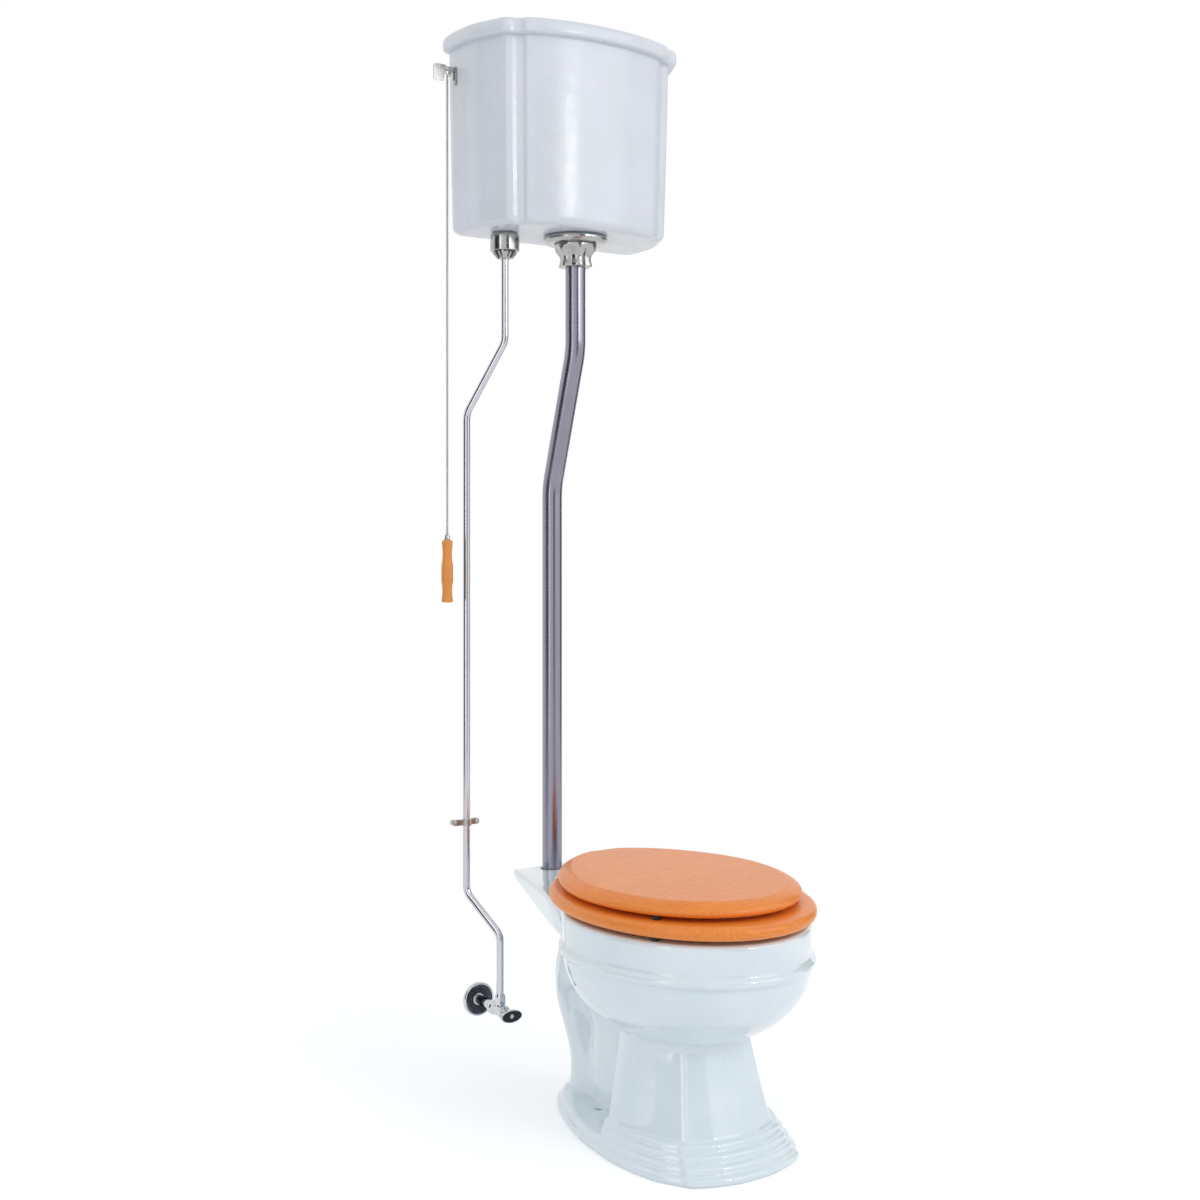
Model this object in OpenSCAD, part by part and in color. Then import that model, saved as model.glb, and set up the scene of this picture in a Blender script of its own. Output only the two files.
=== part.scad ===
// High tank pull chain toilet, in millimetres.
// Origin: centre of the waste outlet at floor level. +Z up, the front faces -Y, the wall is at y = rough_in.

/* [Room] */
// Distance from the waste outlet to the finished wall
rough_in = 305; // [297:1:315]

/* [Bowl] */
// Height of the china rim above the floor
rim_z = 356; // [346:1:370]
// Half width of the rim
rim_half_w = 183; // [179:1:187]
// Distance from the middle of the rim to its front edge
rim_front = 232; // [226:1:236]
// Distance from the outlet forward to the middle of the rim
rim_setback = 117; // [113:1:121]
// Width of the rim's flat top
rim_width = 50; // [44:1:54]
// Height of the bead below the rim's top
bead_drop = 55; // [50:1:58]
// How far the bead stands out from the rim band
bead_proud = 6; // [3:1:7]
// Depth of the rounded bowl below the bead
belly_depth = 140; // [134:1:144]
// Half width of the deck at the wall
deck_half_w = 65; // [60:1:68]
// Thickness of the deck's edge at the wall
deck_edge = 24; // [20:1:28]
// Gap between the deck and the wall
deck_gap = 6; // [4:1:7]
// Thickness of the deck's ledge at the seat bolts
ledge_t = 24; // [20:1:28]
// Half width of the foot at its widest
foot_half_w = 146; // [140:1:150]
// Height of one plinth step
step_h = 12; // [10:1:13]
// Number of plinth steps
steps = 4; // [4:1:5]
// How far each plinth step is drawn in from the one below
step_in = 6; // [4:1:7]
// Radius of the trapway's outside
trap_r = 57; // [54:1:59]
// Radius of the water passage through the trapway
passage_r = 26; // [22:1:28]
// Radius of the waste outlet
outlet_r = 38; // [34:1:40]
// Depth of the waste outlet's straight bore
outlet_depth = 34; // [30:1:40]
// Radius of a floor bolt hole
floor_bolt_r = 6; // [5:0.5:7]
// Spacing of the two floor bolt holes
floor_bolt_span = 152; // [148:1:156]
// Radius of a seat bolt hole through the deck
seat_hole_r = 6; // [5.5:0.5:7]

/* [Seat] */
// Half width of the seat ring
ring_half_w = 189; // [186:1:192]
// Distance from the seat's widest line to its front edge
ring_front = 240; // [236:1:243]
// Thickness of the seat ring
ring_t = 20; // [18:1:21]
// Half width of the seat ring's opening
hole_half_w = 114; // [108:1:118]
// Half length of the seat ring's opening
hole_half_l = 160; // [152:1:164]
// Half width of the lid
lid_half_w = 177; // [172:1:180]
// Distance from the lid's widest line to its front edge
lid_front = 220; // [214:1:226]
// Thickness of the lid
lid_t = 21; // [18:1:23]
// Distance from the outlet back to the straight rear edge of the seat and lid
seat_back = 113; // [111:1:115]
// Height of a bumper under the seat ring
seat_bumper_h = 8; // [7:0.5:9]
// Height of a bumper under the lid
lid_bumper_h = 7; // [6.5:0.5:8]
// Radius of a bumper
bumper_r = 6; // [5:0.5:7]
// Radius of the hinge rod
rod_r = 4; // [3.5:0.5:4.5]
// Outer radius of a hinge knuckle
knuckle_r = 7; // [6.5:0.5:7.5]
// Width of a hinge knuckle
knuckle_w = 15; // [13:1:15]
// Spacing of the two hinge posts
post_span = 140; // [138:1:144]
// Width of the hinge post's eye
post_w = 12; // [10:1:12]
// Thickness of a hinge leaf
leaf_t = 2.5; // [2:0.5:3]
// Length of a hinge leaf under the wood
leaf_l = 46; // [38:1:50]
// Radius of a seat bolt
seat_bolt_r = 4; // [3.5:0.5:4.5]

/* [Tank] */
// Height of the tank's underside above the floor
tank_z = 1460; // [1420:5:1600]
// Height of the tank's china body
tank_h = 311; // [300:1:330]
// Half width of the tank body at its rim
tank_half_w = 197; // [193:1:201]
// Depth of the tank body at its rim
tank_d = 201; // [198:1:206]
// How much narrower the tank is on each side at its underside
tank_taper = 7; // [4:1:9]
// Thickness of the tank's china wall
tank_wall = 9; // [8:0.5:10]
// Thickness of the tank's floor
tank_floor = 12; // [10:1:14]
// How far the lid stands out past the body
lid_over = 13; // [10:1:14]
// Height of the tank lid's edge
tank_lid_h = 26; // [22:1:30]
// Gap between the tank and the wall
tank_gap = 3; // [2:0.5:5]
// Radius of a hanging screw's hole in the tank's back
hanger_hole_r = 4; // [3.5:0.5:5]
// Spacing of the two hanging holes
hanger_span = 250; // [230:5:270]
// Depth of the hanging holes below the tank's rim
hanger_drop = 48; // [40:1:60]

/* [Flush valve] */
// Distance from the wall to the flush outlet's axis
outlet_setback = 112; // [108:1:114]
// Outer radius of the valve's threaded shank
shank_r = 22; // [21.5:0.5:23]
// Radius of the nickel flange under the tank
flange_r = 56; // [52:1:58]
// Thickness of the nickel flange
flange_t = 14; // [12:1:16]
// Height of the lobed nut
lobe_nut_h = 40; // [36:1:44]
// Radius of the lobed nut's lower end
lobe_nut_r = 25; // [24.5:0.5:26]
// Radius of the flush ball
ball_r = 32; // [30.5:0.5:33]
// Radius of the valve seat's opening
seat_r = 24; // [23:0.5:25]
// Radius of the overflow tube
overflow_r = 12; // [10:0.5:13]
// Distance from the flush valve's axis to the overflow tube
overflow_offset = 54; // [52:1:56]
// Height of the overflow tube's top above the tank's floor
overflow_h = 240; // [220:5:250]
// Radius of the lift rod
lift_rod_r = 2; // [1.5:0.25:2.5]

/* [Flush pipe] */
// Outer radius of the flush pipe
pipe_r = 17.5; // [17:0.5:18.5]
// Wall of the flush pipe
pipe_wall = 1.5; // [1:0.25:2]
// Distance from the wall to the pipe's axis at the bowl
spud_setback = 34; // [33:1:38]
// Height of the pipe's upper bend below the tank
pipe_bend_drop = 179; // [150:1:220]
// Slant of the pipe between its two bends
pipe_slant = 18.5; // [15:0.5:22]
// Radius of the pipe's bends
pipe_bend_r = 120; // [90:5:140]
// Depth of the pipe's end in the bowl's inlet
pipe_seat = 22; // [18:1:26]
// Outer radius of the rubber inlet seal
spud_r = 20; // [19.5:0.5:20.5]

/* [Supply] */
// Distance of the water inlet to the left of the middle
inlet_x = 120; // [116:1:124]
// Distance from the wall to the inlet's axis
inlet_setback = 76; // [74:1:80]
// Outer radius of the supply tube
tube_r = 6.35; // [6:0.05:6.5]
// Wall of the supply tube
tube_wall = 1; // [0.8:0.1:1.2]
// Height of the supply tube's upper bend below the tank
tube_bend_drop = 175; // [150:1:200]
// Height of the supply tube's lower bend above the floor
tube_low_bend = 336; // [300:1:400]
// Slant of the supply tube's upper offset
tube_slant = 32; // [30:1:38]
// Slant of the supply tube's lower offset
tube_low_slant = 50; // [46:1:56]
// Distance of the clamped run to the left of the middle
run_x = 160; // [156:1:164]
// Distance from the wall to the clamped run's axis
run_setback = 12; // [11:0.5:14]
// Radius of the nickel cup nut under the tank
cup_r = 25; // [23:1:26]
// Height of the cup nut
cup_h = 32; // [28:1:34]
// Height of the ribbed coupling nut
rib_nut_h = 12; // [11:1:14]
// Height of the wall clamp above the floor
clamp_z = 445; // [420:5:700]
// Distance of each clamp screw from the tube's axis
clamp_ear = 21; // [19:1:24]

/* [Stop valve] */
// Distance of the stop valve to the left of the middle
stop_x = 133; // [130:1:138]
// Height of the stop valve's axis
stop_z = 133; // [120:1:150]
// Distance from the wall to the valve's upright outlet
stop_setback = 83; // [80:1:86]
// Radius of the wall escutcheon
escutcheon_r = 29; // [27:1:32]
// Depth of the escutcheon's dish
escutcheon_d = 10; // [8:1:12]
// Radius of the valve's barrel
barrel_r = 11; // [10:0.5:12]
// Radius of the wall nipple's outside
nipple_r = 8; // [7.5:0.5:8.5]
// Half width of the oval handle
oval_half_w = 20; // [18:1:22]
// Half height of the oval handle
oval_half_h = 11; // [10:0.5:12]
// Thickness of the oval handle
oval_t = 13; // [11:1:15]
// Radius of the valve's stem
stem_r = 3.5; // [3:0.25:4]

/* [Lever and chain] */
// Distance from the wall to the lever's outer arm and the chain
chain_setback = 42; // [40:1:44]
// Distance of the chain outside the tank's side
chain_reach = 16; // [15:1:19]
// Distance of the lever's pivot to the left of the middle
pivot_x = 120; // [116:1:124]
// Drop of the lever's pivot below the tank's rim
pivot_drop = 36; // [34:1:38]
// Height of the lever bar
lever_h = 7; // [6:0.5:8]
// Thickness of the lever bar
lever_t = 4; // [3:0.5:4.5]
// Drop of the lever's inner end below its pivot
lever_crank = 17; // [15:1:19]
// Radius of the lever's pivot pin
pin_r = 2.5; // [2:0.25:3]
// Radius of a chain bead
bead_r = 2.3; // [2:0.1:2.4]
// Distance from one bead to the next
bead_pitch = 4.9; // [4.7:0.1:5.2]
// Number of beads
beads = 160; // [140:1:170]
// Length of the turned wooden handle
handle_l = 106; // [95:1:120]
// Radius of the handle's belly
handle_r = 10; // [9:0.5:11]

/* [Ballcock] */
// Height of the float arm's pivot above the tank's floor
float_pivot_h = 228; // [215:1:235]
// Length of the float arm from its pivot to the float's middle
float_arm_l = 215; // [205:1:220]
// Angle by which the float hangs below level in an empty tank
float_drop = 30; // [26:1:32]
// Radius of the float ball
float_r = 45; // [40:1:46]
// Radius of the float arm's rod
float_rod_r = 2.5; // [2:0.25:3]
// Radius of the ballcock's riser
riser_r = 12; // [11:0.5:13]
// Distance from the float's pivot to the valve plunger
plunger_offset = 12; // [11:0.5:13]

/* [Hidden] */

// Facets of exact round shapes and of the china's outlines
$fn = 64;
oval_n = 60;
// Clearances: running fit of a pin, gap between moving pieces, overlap of a cut past a face
fit = 0.05;
gap = 0.4;
cut = 1;

china = "#E4EEF4";
oak = "#F08A3E";
nickel = "#A9AAA8";
steel = "#8D8B9A";
chrome = "#C9CBD0";
black_rubber = "#161616";
brass = "#B08D4F";

// Bowl
rim_y = -rim_setback;
deck_back = rough_in - deck_gap;
spud_y = rough_in - spud_setback;
bead_z = rim_z - bead_drop;
belly_z = bead_z - belly_depth;
foot_t = 2 * step_h;
plinth_top = step_h * steps;
belly_h = belly_depth - 8;

// Seat
ring_z = rim_z + seat_bumper_h;
ring_top = ring_z + ring_t;
lid_z = ring_top + lid_bumper_h;
lid_y = rim_y + 10;
hinge_y = seat_back + knuckle_r + 6;
hinge_z = ring_z + 2;
seat_knuckle_x = post_span / 2 - post_w / 2 - knuckle_w / 2 - gap;
lid_knuckle_x = seat_knuckle_x - knuckle_w - gap;
rod_half_l = post_span / 2 + post_w / 2 + 3;

// Tank
tank_back = rough_in - tank_gap;
tank_front = tank_back - tank_d;
rim_top = tank_z + tank_h;
floor_top = tank_z + tank_floor;
outlet_y = rough_in - outlet_setback;
gasket_t = 3;

// Flush valve
valve_flange_t = 5;
valve_seat_h = 12;
valve_seat_top = floor_top + gasket_t + valve_flange_t + valve_seat_h;
ball_z = valve_seat_top + sqrt(ball_r * ball_r - seat_r * seat_r) + gap;
overflow_y = outlet_y - overflow_offset;
overflow_top = floor_top + overflow_h;
shank_end = tank_z - flange_t - lobe_nut_h + 6;
nut_z = tank_z - flange_t - lobe_nut_h;

// Lever
chain_x = tank_half_w + chain_reach;
chain_y = rough_in - chain_setback;
pivot_z = rim_top - pivot_drop;
lever_end_z = pivot_z - lever_crank;
collar_h = 7;
collar_z = lever_end_z + lever_h / 2 + 1.3;
eye_z = pivot_z;
eye_r = 2.4;
bracket_t = 1.5;
slot_w = lever_t + 2 * gap + 2 * bracket_t + 0.6;
slot_drop = 20;
slot_z = pivot_z - slot_drop;
slot_h = slot_drop + lever_h / 2 + 1.2;
chain_room = 3.4;
hook_r = 5;
wire_r = 0.8;
hook_z = eye_z - hook_r - 0.9;
chain_top = hook_z - hook_r - wire_r - bead_r - 0.1;
chain_end = chain_top - (beads - 1) * bead_pitch;
bell_h = 10;
bell_top = chain_end + bead_r + 0.6;
handle_top = bell_top - bell_h;

// Supply
inlet_y = rough_in - inlet_setback;
run_y = rough_in - run_setback;
stop_y = rough_in - stop_setback;
tube_top = tank_z - cup_h - rib_nut_h + 4;
tube_bottom = stop_z + barrel_r + 6;
barrel_front = stop_y - 17;
packing_l = 8;
handle_back = barrel_front - packing_l - 3;

// Ballcock
float_pivot_x = -inlet_x + plunger_offset;
float_pivot_z = floor_top + float_pivot_h;
float_x = float_pivot_x + float_arm_l * cos(float_drop);
float_z = float_pivot_z - float_arm_l * sin(float_drop);
riser_top = float_pivot_z - 10;
shank_bore = 5;

// Bends of the pipes, in steps each
bend_steps = 7;
tube_bend_r = 40;
low_bend_r = 25;

// Bowl outlines for x >= 0, from the front to the back, as drawn at these half sizes
foot_drawn_w = 146;
foot_drawn_l = 240;
foot_mid = -70;
foot_half = [[0, -310], [32, -308], [62, -300], [88, -290], [102, -281], [108, -270], [127, -240],
    [140, -197], [146, -150], [146, -112], [142, -57], [134, -15], [120, 34], [102, 84],
    [78, 124], [48, 150], [0, 165]];
pedestal_low = [[0, -266], [40, -261], [72, -248], [79, -246], [85, -238], [90, -227], [118, -160],
    [127, -124], [124, -96], [74, -74], [62, -40], [60, 30], [52, 70], [0, 88]];
pedestal_high = [[0, -226], [30, -222], [52, -214], [57, -213], [63, -206], [68, -197], [98, -156],
    [107, -126], [98, -96], [66, -76], [56, -44], [52, 30], [46, 66], [0, 82]];

// Trapway and drain as [distance back, height]
trap_crown = [150, 205];
trap_rise = [[-90, 112], [-20, 116], [40, 150], [95, 190], trap_crown];
trap_fall = [[112, 316], [124, 272], [140, 236], trap_crown, [147, 165], [126, 125], [106, 90],
    [95, 55], [90, foot_t - 4]];
drain_fall = [trap_crown, [147, 165], [124, 125], [102, 88], [76, 60], [42, 44], [-8, 40]];
duct_z = rim_z - 26;
duct_r = 11;

// Squareness of the lid's back half, rubber bumpers and leaf screws
lid_squareness = 1.75;
bumper_spots = [[138, -128], [122, 98]];
lid_bumper_spots = [[130, -121], [118, 90]];
screw_r = 2;
screw_l = 12;
screw_y = [seat_back - 14, seat_back - 36];

// Half of the tank's bow-fronted plan with its fluted corner, as shares of half width and depth
tank_half = [[0, 1], [0.21, 0.991], [0.42, 0.956], [0.59, 0.908], [0.67, 0.874], [0.69, 0.855],
    [0.706, 0.826], [0.74, 0.802], [0.79, 0.794], [0.825, 0.78], [0.85, 0.745], [0.88, 0.68],
    [0.935, 0.565], [0.972, 0.455], [0.993, 0.32], [1, 0.14], [0.98, 0.04], [0.94, 0]];

// Ballcock and its refill tube
socket_z = 16;
inlet_shank_r = 11;
ear_w = 8;
ear_t = 3;
refill_angle = atan2(overflow_y - inlet_y, inlet_x);
refill_l = norm([inlet_x, overflow_y - inlet_y]);
refill_z = riser_top - 12;
plunger_r = 4;

// Ways of the supply tube's two offsets, and its clamp
to_run = [inlet_x - run_x, run_y - inlet_y];
to_stop = [run_x - stop_x, stop_y - run_y];
clamp_h = 10;
clamp_screw_r = 2;

// Stop valve
boss_r = 8.5;
boss_top = stop_z + barrel_r + 7;
socket_d = 16;

// Lever's cheeks and plate, and the handle's turning as [share of its length, share of its radius]
cheek_y = lever_t / 2 + gap;
lever_plate_t = 2.5;
handle_turning = [[0, 0.62], [0.01, 0.78], [0.035, 0.9], [0.07, 0.92], [0.12, 0.87], [0.2, 0.79],
    [0.28, 0.8], [0.35, 0.87], [0.39, 0.95], [0.405, 1], [0.54, 1], [0.68, 1], [0.7, 0.94],
    [0.75, 0.87], [0.82, 0.83], [0.88, 0.86], [0.94, 0.94], [0.975, 0.98], [0.995, 0.94], [1, 0.86]];

// ---------- shapes that several pieces share ----------

// Closed skin over rings of equal length, from the lowest to the highest
module skin(rings) {
    n = len(rings[0]);
    last = (len(rings) - 1) * n;
    polyhedron(points = [for (ring = rings) each ring],
        faces = concat(
            [[for (j = [0:n - 1]) j]],
            [[for (j = [0:n - 1]) last + n - 1 - j]],
            [for (i = [0:len(rings) - 2], j = [0:n - 1])
                [i * n + j, (i + 1) * n + j, (i + 1) * n + (j + 1) % n]],
            [for (i = [0:len(rings) - 2], j = [0:n - 1])
                [i * n + j, (i + 1) * n + (j + 1) % n, i * n + (j + 1) % n]]));
}

// A flat outline lifted to height z
function at(z, outline) = [for (p = outline) [p[0], p[1], z]];

// Both halves of an outline given for x >= 0, from the front to the back
function mirrored(half) = concat(half, [for (i = [len(half) - 1:-1:0]) if (half[i][0] > 0.01)
    [-half[i][0], half[i][1]]]);

// Superellipse exponent applied to a sine or cosine
function power(v, n) = sign(v) * pow(abs(v), 2 / n);

// Oval with its own front and back lengths, squarer behind, cut straight at y_max
function oval(half_w, front, back, y, n_back = 2, y_max = 1000) = [for (i = [0:oval_n - 1])
    let (a = 360 * i / oval_n - 90,
         n = sin(a) > 0 ? n_back : 2)
    [half_w * power(cos(a), n), min(y + (sin(a) > 0 ? back : front) * power(sin(a), n), y_max)]];

function unit(v) = v / norm(v);

// Direction of a path at point i
function heading(path, i) = unit(path[min(i + 1, len(path) - 1)] - path[max(i - 1, 0)]);

// Ring of n points round p, square to direction t, which is never along X
function tube_ring(p, t, r, n) =
    let (e1 = unit(cross([1, 0, 0], t)), e2 = cross(t, e1))
    [for (k = [0:n - 1]) p + r * (cos(360 * k / n) * e1 + sin(360 * k / n) * e2)];

// Solid along a path, with a radius for each of its points
module swept(path, radii, sides) {
    skin([for (i = [0:len(path) - 1]) tube_ring(path[i], heading(path, i), radii[i], sides)]);
}

// Solid of one radius along a path
module rod_along(path, r, sides) {
    swept(path, [for (p = path) r], sides);
}

// A path drawn as [distance, height] laid from an origin in plan direction dir
function laid(path, origin, dir) = [for (p = path)
    origin + [p[0] * cos(dir), p[0] * sin(dir), p[1]]];

// Length of the slanted run and height of an offset between two bends
function slant_l(offset, a, rb) = (offset - 2 * rb * (1 - cos(a))) / sin(a);
function offset_h(offset, a, rb) = 2 * rb * sin(a) + slant_l(offset, a, rb) * cos(a);

// Path of an offset between two bends: down from [0, 0], leaving downwards at the offset
function bend_at(k, a, rb) = rb * [1 - cos(a * k / bend_steps), -sin(a * k / bend_steps)];
function offset_path(offset, a, rb) = concat(
    [for (k = [0:bend_steps]) bend_at(k, a, rb)],
    [for (k = [bend_steps:-1:0]) [offset, -offset_h(offset, a, rb)] - bend_at(k, a, rb)]);

// Cylinder along +X, centred on the origin
module across(r, l) {
    translate([-l / 2, 0, 0])
        rotate([0, 90, 0])
            cylinder(r = r, h = l);
}

// Cylinder along -Y from the origin
module forward(r, l) {
    rotate([90, 0, 0])
        cylinder(r = r, h = l);
}

module pair(x) {
    for (side = [-1, 1])
        translate([side * x, 0, 0])
            children();
}

// ---------- bowl ----------

// Foot outline, drawn in at the sides and twice as much at its ends
function foot(inset) = mirrored([for (p = foot_half)
    [p[0] * (foot_half_w - inset) / foot_drawn_w,
     foot_mid + (p[1] - foot_mid) * (foot_drawn_l - 2 * inset) / foot_drawn_l]]);

// Widths of the rim band, bead and belly as [height below the rim's top, share of the rim's size]
function belly_share(q) = sqrt(1 - q * q);
function bowl_ring(z, grow, share) =
    at(z, oval((rim_half_w + grow) * share, (rim_front + grow) * share,
        (rim_front + grow - 40) * share, rim_y));

module bowl_skin() {
    edge = 6;
    skin(concat(
        [for (i = [0:9])
            let (q = 0.985 * cos(i * 10))
            bowl_ring(bead_z - 8 - belly_h * q, -2, belly_share(q))],
        [bowl_ring(bead_z - 7, 0, 1),
         bowl_ring(bead_z - 4, bead_proud * 0.8, 1),
         bowl_ring(bead_z, bead_proud, 1),
         bowl_ring(bead_z + 4, bead_proud * 0.8, 1),
         bowl_ring(bead_z + 7, 0, 1),
         bowl_ring(bead_z + 12, -1, 1),
         bowl_ring(rim_z - edge, 0, 1),
         bowl_ring(rim_z - edge * 0.3, -edge * 0.3, 1),
         bowl_ring(rim_z, -edge, 1)]));
}

// Water space of the bowl: rim opening, the flushing rim's channel, sloping walls, sump
module bowl_inside() {
    w = rim_half_w - rim_width;
    l = rim_front - rim_width;
    hollow = rim_width - 14;
    sump_y = -78;
    sump_z = 112;
    channel_z = rim_z - 46;
    skin([
        at(sump_z, oval(30, 36, 36, sump_y)),
        at(sump_z + 14, oval(44, 52, 50, sump_y)),
        at(sump_z + 50, oval(70, 86, 78, sump_y - 6)),
        at(belly_z + 50, oval(112, 146, 118, rim_y + 12)),
        at(belly_z + 90, oval(w + 12, l + 14, l - 14, rim_y + 2)),
        at(bead_z - 14, oval(w + hollow - 6, l + hollow - 6, l + hollow - 50, rim_y)),
        at(channel_z, oval(w + hollow, l + hollow, l + hollow - 44, rim_y))]);
    translate([0, 0, channel_z - cut])
        linear_extrude(rim_z - 12 - channel_z + cut)
            difference() {
                polygon(oval(w + hollow, l + hollow, l + hollow - 44, rim_y));
                polygon(oval(w + 8, l + 8, l - 12, rim_y));
            }
    translate([0, 0, channel_z - cut])
        linear_extrude(rim_z - channel_z + 2 * cut)
            polygon(oval(w, l, l - 20, rim_y));
}

// Hollow that the kiln leaves open under the pedestal's front
module pedestal_hollow() {
    skin([
        at(-cut, oval(98, 118, 40, -150)),
        at(plinth_top - 8, oval(90, 110, 36, -150)),
        at(86, oval(64, 64, 34, -150))]);
}

module trap_leg(path, radii, sides) {
    swept(laid(path, [0, 0, 0], 90), radii, sides);
}

// A rising leg from the sump, a crown, and a falling leg to the outlet
module trapway() {
    trap_leg(trap_rise, [trap_r - 17, trap_r - 12, trap_r - 9, trap_r - 5, trap_r - 1], 20);
    trap_leg(trap_fall, [trap_r - 9, trap_r - 6, trap_r - 2, trap_r, trap_r, trap_r - 1, trap_r,
        trap_r + 3, trap_r + 8], 24);
    translate([0, each trap_crown])
        sphere(r = trap_r);
}

module drain() {
    trap_leg(trap_rise, [for (p = trap_rise) passage_r], 16);
    trap_leg(drain_fall, [for (p = drain_fall) passage_r], 16);
    translate([0, each trap_crown])
        sphere(r = passage_r);
}

// Plan of the deck at its top and, drawn in, at the bottom of its skirt
function deck_plan(flare) = mirrored([[deck_half_w + 82 + flare, -10],
    [deck_half_w + 76 + flare, 30], [deck_half_w + 68 + flare, 72], [deck_half_w, deck_back - 5],
    [deck_half_w - 5, deck_back]]);

// Deck behind the rim: its plan tapers to the wall and its skirt deepens towards the bowl
module deck() {
    fall = 5;
    side = [[-10, rim_z - 66], [90, rim_z - 62], [155, rim_z - 52], [220, rim_z - 39],
        [deck_back, rim_z - deck_edge], [deck_back, rim_z - fall - 3], [deck_back - 3, rim_z - fall],
        [140, rim_z], [-10, rim_z]];
    intersection() {
        skin([at(rim_z - 80, deck_plan(-24)), at(rim_z - 34, deck_plan(-12)), at(rim_z, deck_plan(0))]);
        rotate([90, 0, 90])
            translate([0, 0, -200])
                linear_extrude(400)
                    polygon(side);
    }
}

// China round the inlet and the duct that leads the flush water to the bowl
module inlet_boss() {
    translate([0, spud_y, rim_z - pipe_seat - 26])
        cylinder(r = spud_r + 6, h = pipe_seat + 20);
    translate([0, spud_y, duct_z])
        forward(duct_r + 8, spud_y - 110);
}

module plinth() {
    linear_extrude(step_h)
        polygon(foot(0));
    linear_extrude(foot_t)
        polygon(foot(step_in));
    intersection() {
        for (i = [2:steps - 1])
            linear_extrude(step_h * (i + 1))
                polygon(foot(step_in * i));
        translate([-foot_half_w, -400, 0])
            cube([2 * foot_half_w, 400 - 92, plinth_top + cut]);
    }
}

module pedestal() {
    skin([at(foot_t - 6, mirrored(pedestal_low)),
        at(plinth_top, mirrored(pedestal_low)),
        at(belly_z + 32, mirrored(pedestal_high)),
        at(belly_z + 60, mirrored(pedestal_high))]);
}

module bowl_holes() {
    translate([0, 0, -cut])
        cylinder(r = outlet_r, h = outlet_depth + cut);
    pair(floor_bolt_span / 2)
        translate([0, 0, -cut])
            cylinder(r = floor_bolt_r, h = foot_t + 2 * cut);
    pair(post_span / 2)
        translate([0, hinge_y, rim_z - ledge_t - cut]) {
            cylinder(r = seat_hole_r, h = ledge_t + 2 * cut);
            translate([0, 0, cut - 80])
                cylinder(r = 16, h = 80);
        }
    translate([0, spud_y, rim_z - pipe_seat - 4])
        cylinder(r = spud_r, h = pipe_seat + 4 + cut);
    translate([0, spud_y, rim_z - pipe_seat - 14])
        cylinder(r = duct_r + 4, h = 12);
    translate([0, spud_y, duct_z])
        forward(duct_r, spud_y - 10);
}

module toilet_bowl() {
    color(china)
        difference() {
            union() {
                bowl_skin();
                deck();
                inlet_boss();
                trapway();
                plinth();
                pedestal();
            }
            bowl_inside();
            pedestal_hollow();
            drain();
            bowl_holes();
        }
}

module bowl_inlet_seal() {
    color(black_rubber)
        translate([0, spud_y, rim_z - pipe_seat - 4])
            difference() {
                cylinder(r = spud_r, h = pipe_seat - 4);
                translate([0, 0, -cut])
                    cylinder(r = pipe_r - pipe_wall, h = pipe_seat + 10);
                translate([0, 0, 4])
                    cylinder(r = pipe_r, h = pipe_seat + 10);
            }
}

// ---------- seat and hinge ----------

function ring_outline(grow) = oval(ring_half_w + grow, ring_front + grow, ring_front + 6 + grow,
    rim_y, 2, seat_back + grow);
function ring_hole(grow) = oval(hole_half_w + grow, hole_half_l + grow, hole_half_l + grow,
    rim_y - 12);
function lid_outline(grow) = oval(lid_half_w + grow, lid_front + grow, lid_front + 18 + grow,
    lid_y, lid_squareness, seat_back + min(grow * 0.4, 0));

module seat_ring() {
    color(oak)
        difference() {
            skin([at(ring_z, ring_outline(-6)), at(ring_z + 2, ring_outline(-3)),
                at(ring_z + 6, ring_outline(-0.5)), at(ring_z + 11, ring_outline(0)),
                at(ring_z + 15, ring_outline(-1.5)), at(ring_z + 18, ring_outline(-4.5)),
                at(ring_top, ring_outline(-10))]);
            skin([at(ring_z - cut, ring_hole(4)), at(ring_z + 3, ring_hole(0)),
                at(ring_z + 9, ring_hole(-1)), at(ring_z + 15, ring_hole(2)),
                at(ring_top + cut, ring_hole(12))]);
            leaf_screw_holes(seat_knuckle_x, ring_z - cut);
        }
}

module seat_lid() {
    color(oak)
        difference() {
            skin([at(lid_z, lid_outline(-5)), at(lid_z + 2, lid_outline(-2)),
                at(lid_z + 6, lid_outline(0)), at(lid_z + 10, lid_outline(-1)),
                at(lid_z + 14, lid_outline(-5)), at(lid_z + 18, lid_outline(-12)),
                at(lid_z + lid_t - 0.8, lid_outline(-18)), at(lid_z + lid_t, lid_outline(-24))]);
            leaf_screw_holes(lid_knuckle_x, lid_z - cut);
        }
}

module leaf_screw_holes(x, z) {
    pair(x)
        for (y = screw_y)
            translate([0, y, z])
                cylinder(r = screw_r + fit, h = screw_l + cut, $fn = 24);
}

// Leaf under the wood, with a web that rises or drops to the knuckle round the rod
module leaves(x, z) {
    low = min(z, hinge_z);
    pair(x)
        difference() {
            union() {
                translate([-knuckle_w / 2, seat_back - leaf_l, z])
                    cube([knuckle_w, leaf_l + 13, leaf_t]);
                translate([-knuckle_w / 2, hinge_y - knuckle_r, low])
                    cube([knuckle_w, 1.5 * knuckle_r, abs(z - hinge_z) + (z > hinge_z ? leaf_t : 0)]);
                translate([0, hinge_y, hinge_z])
                    across(knuckle_r, knuckle_w);
            }
            translate([0, hinge_y, hinge_z])
                across(rod_r + fit, knuckle_w + 2 * cut);
            for (y = screw_y)
                translate([0, y, z - cut])
                    cylinder(r = screw_r + fit, h = leaf_t + 2 * cut, $fn = 24);
        }
}

module seat_leaves() {
    color(chrome)
        leaves(seat_knuckle_x, ring_z - leaf_t);
}

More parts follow.
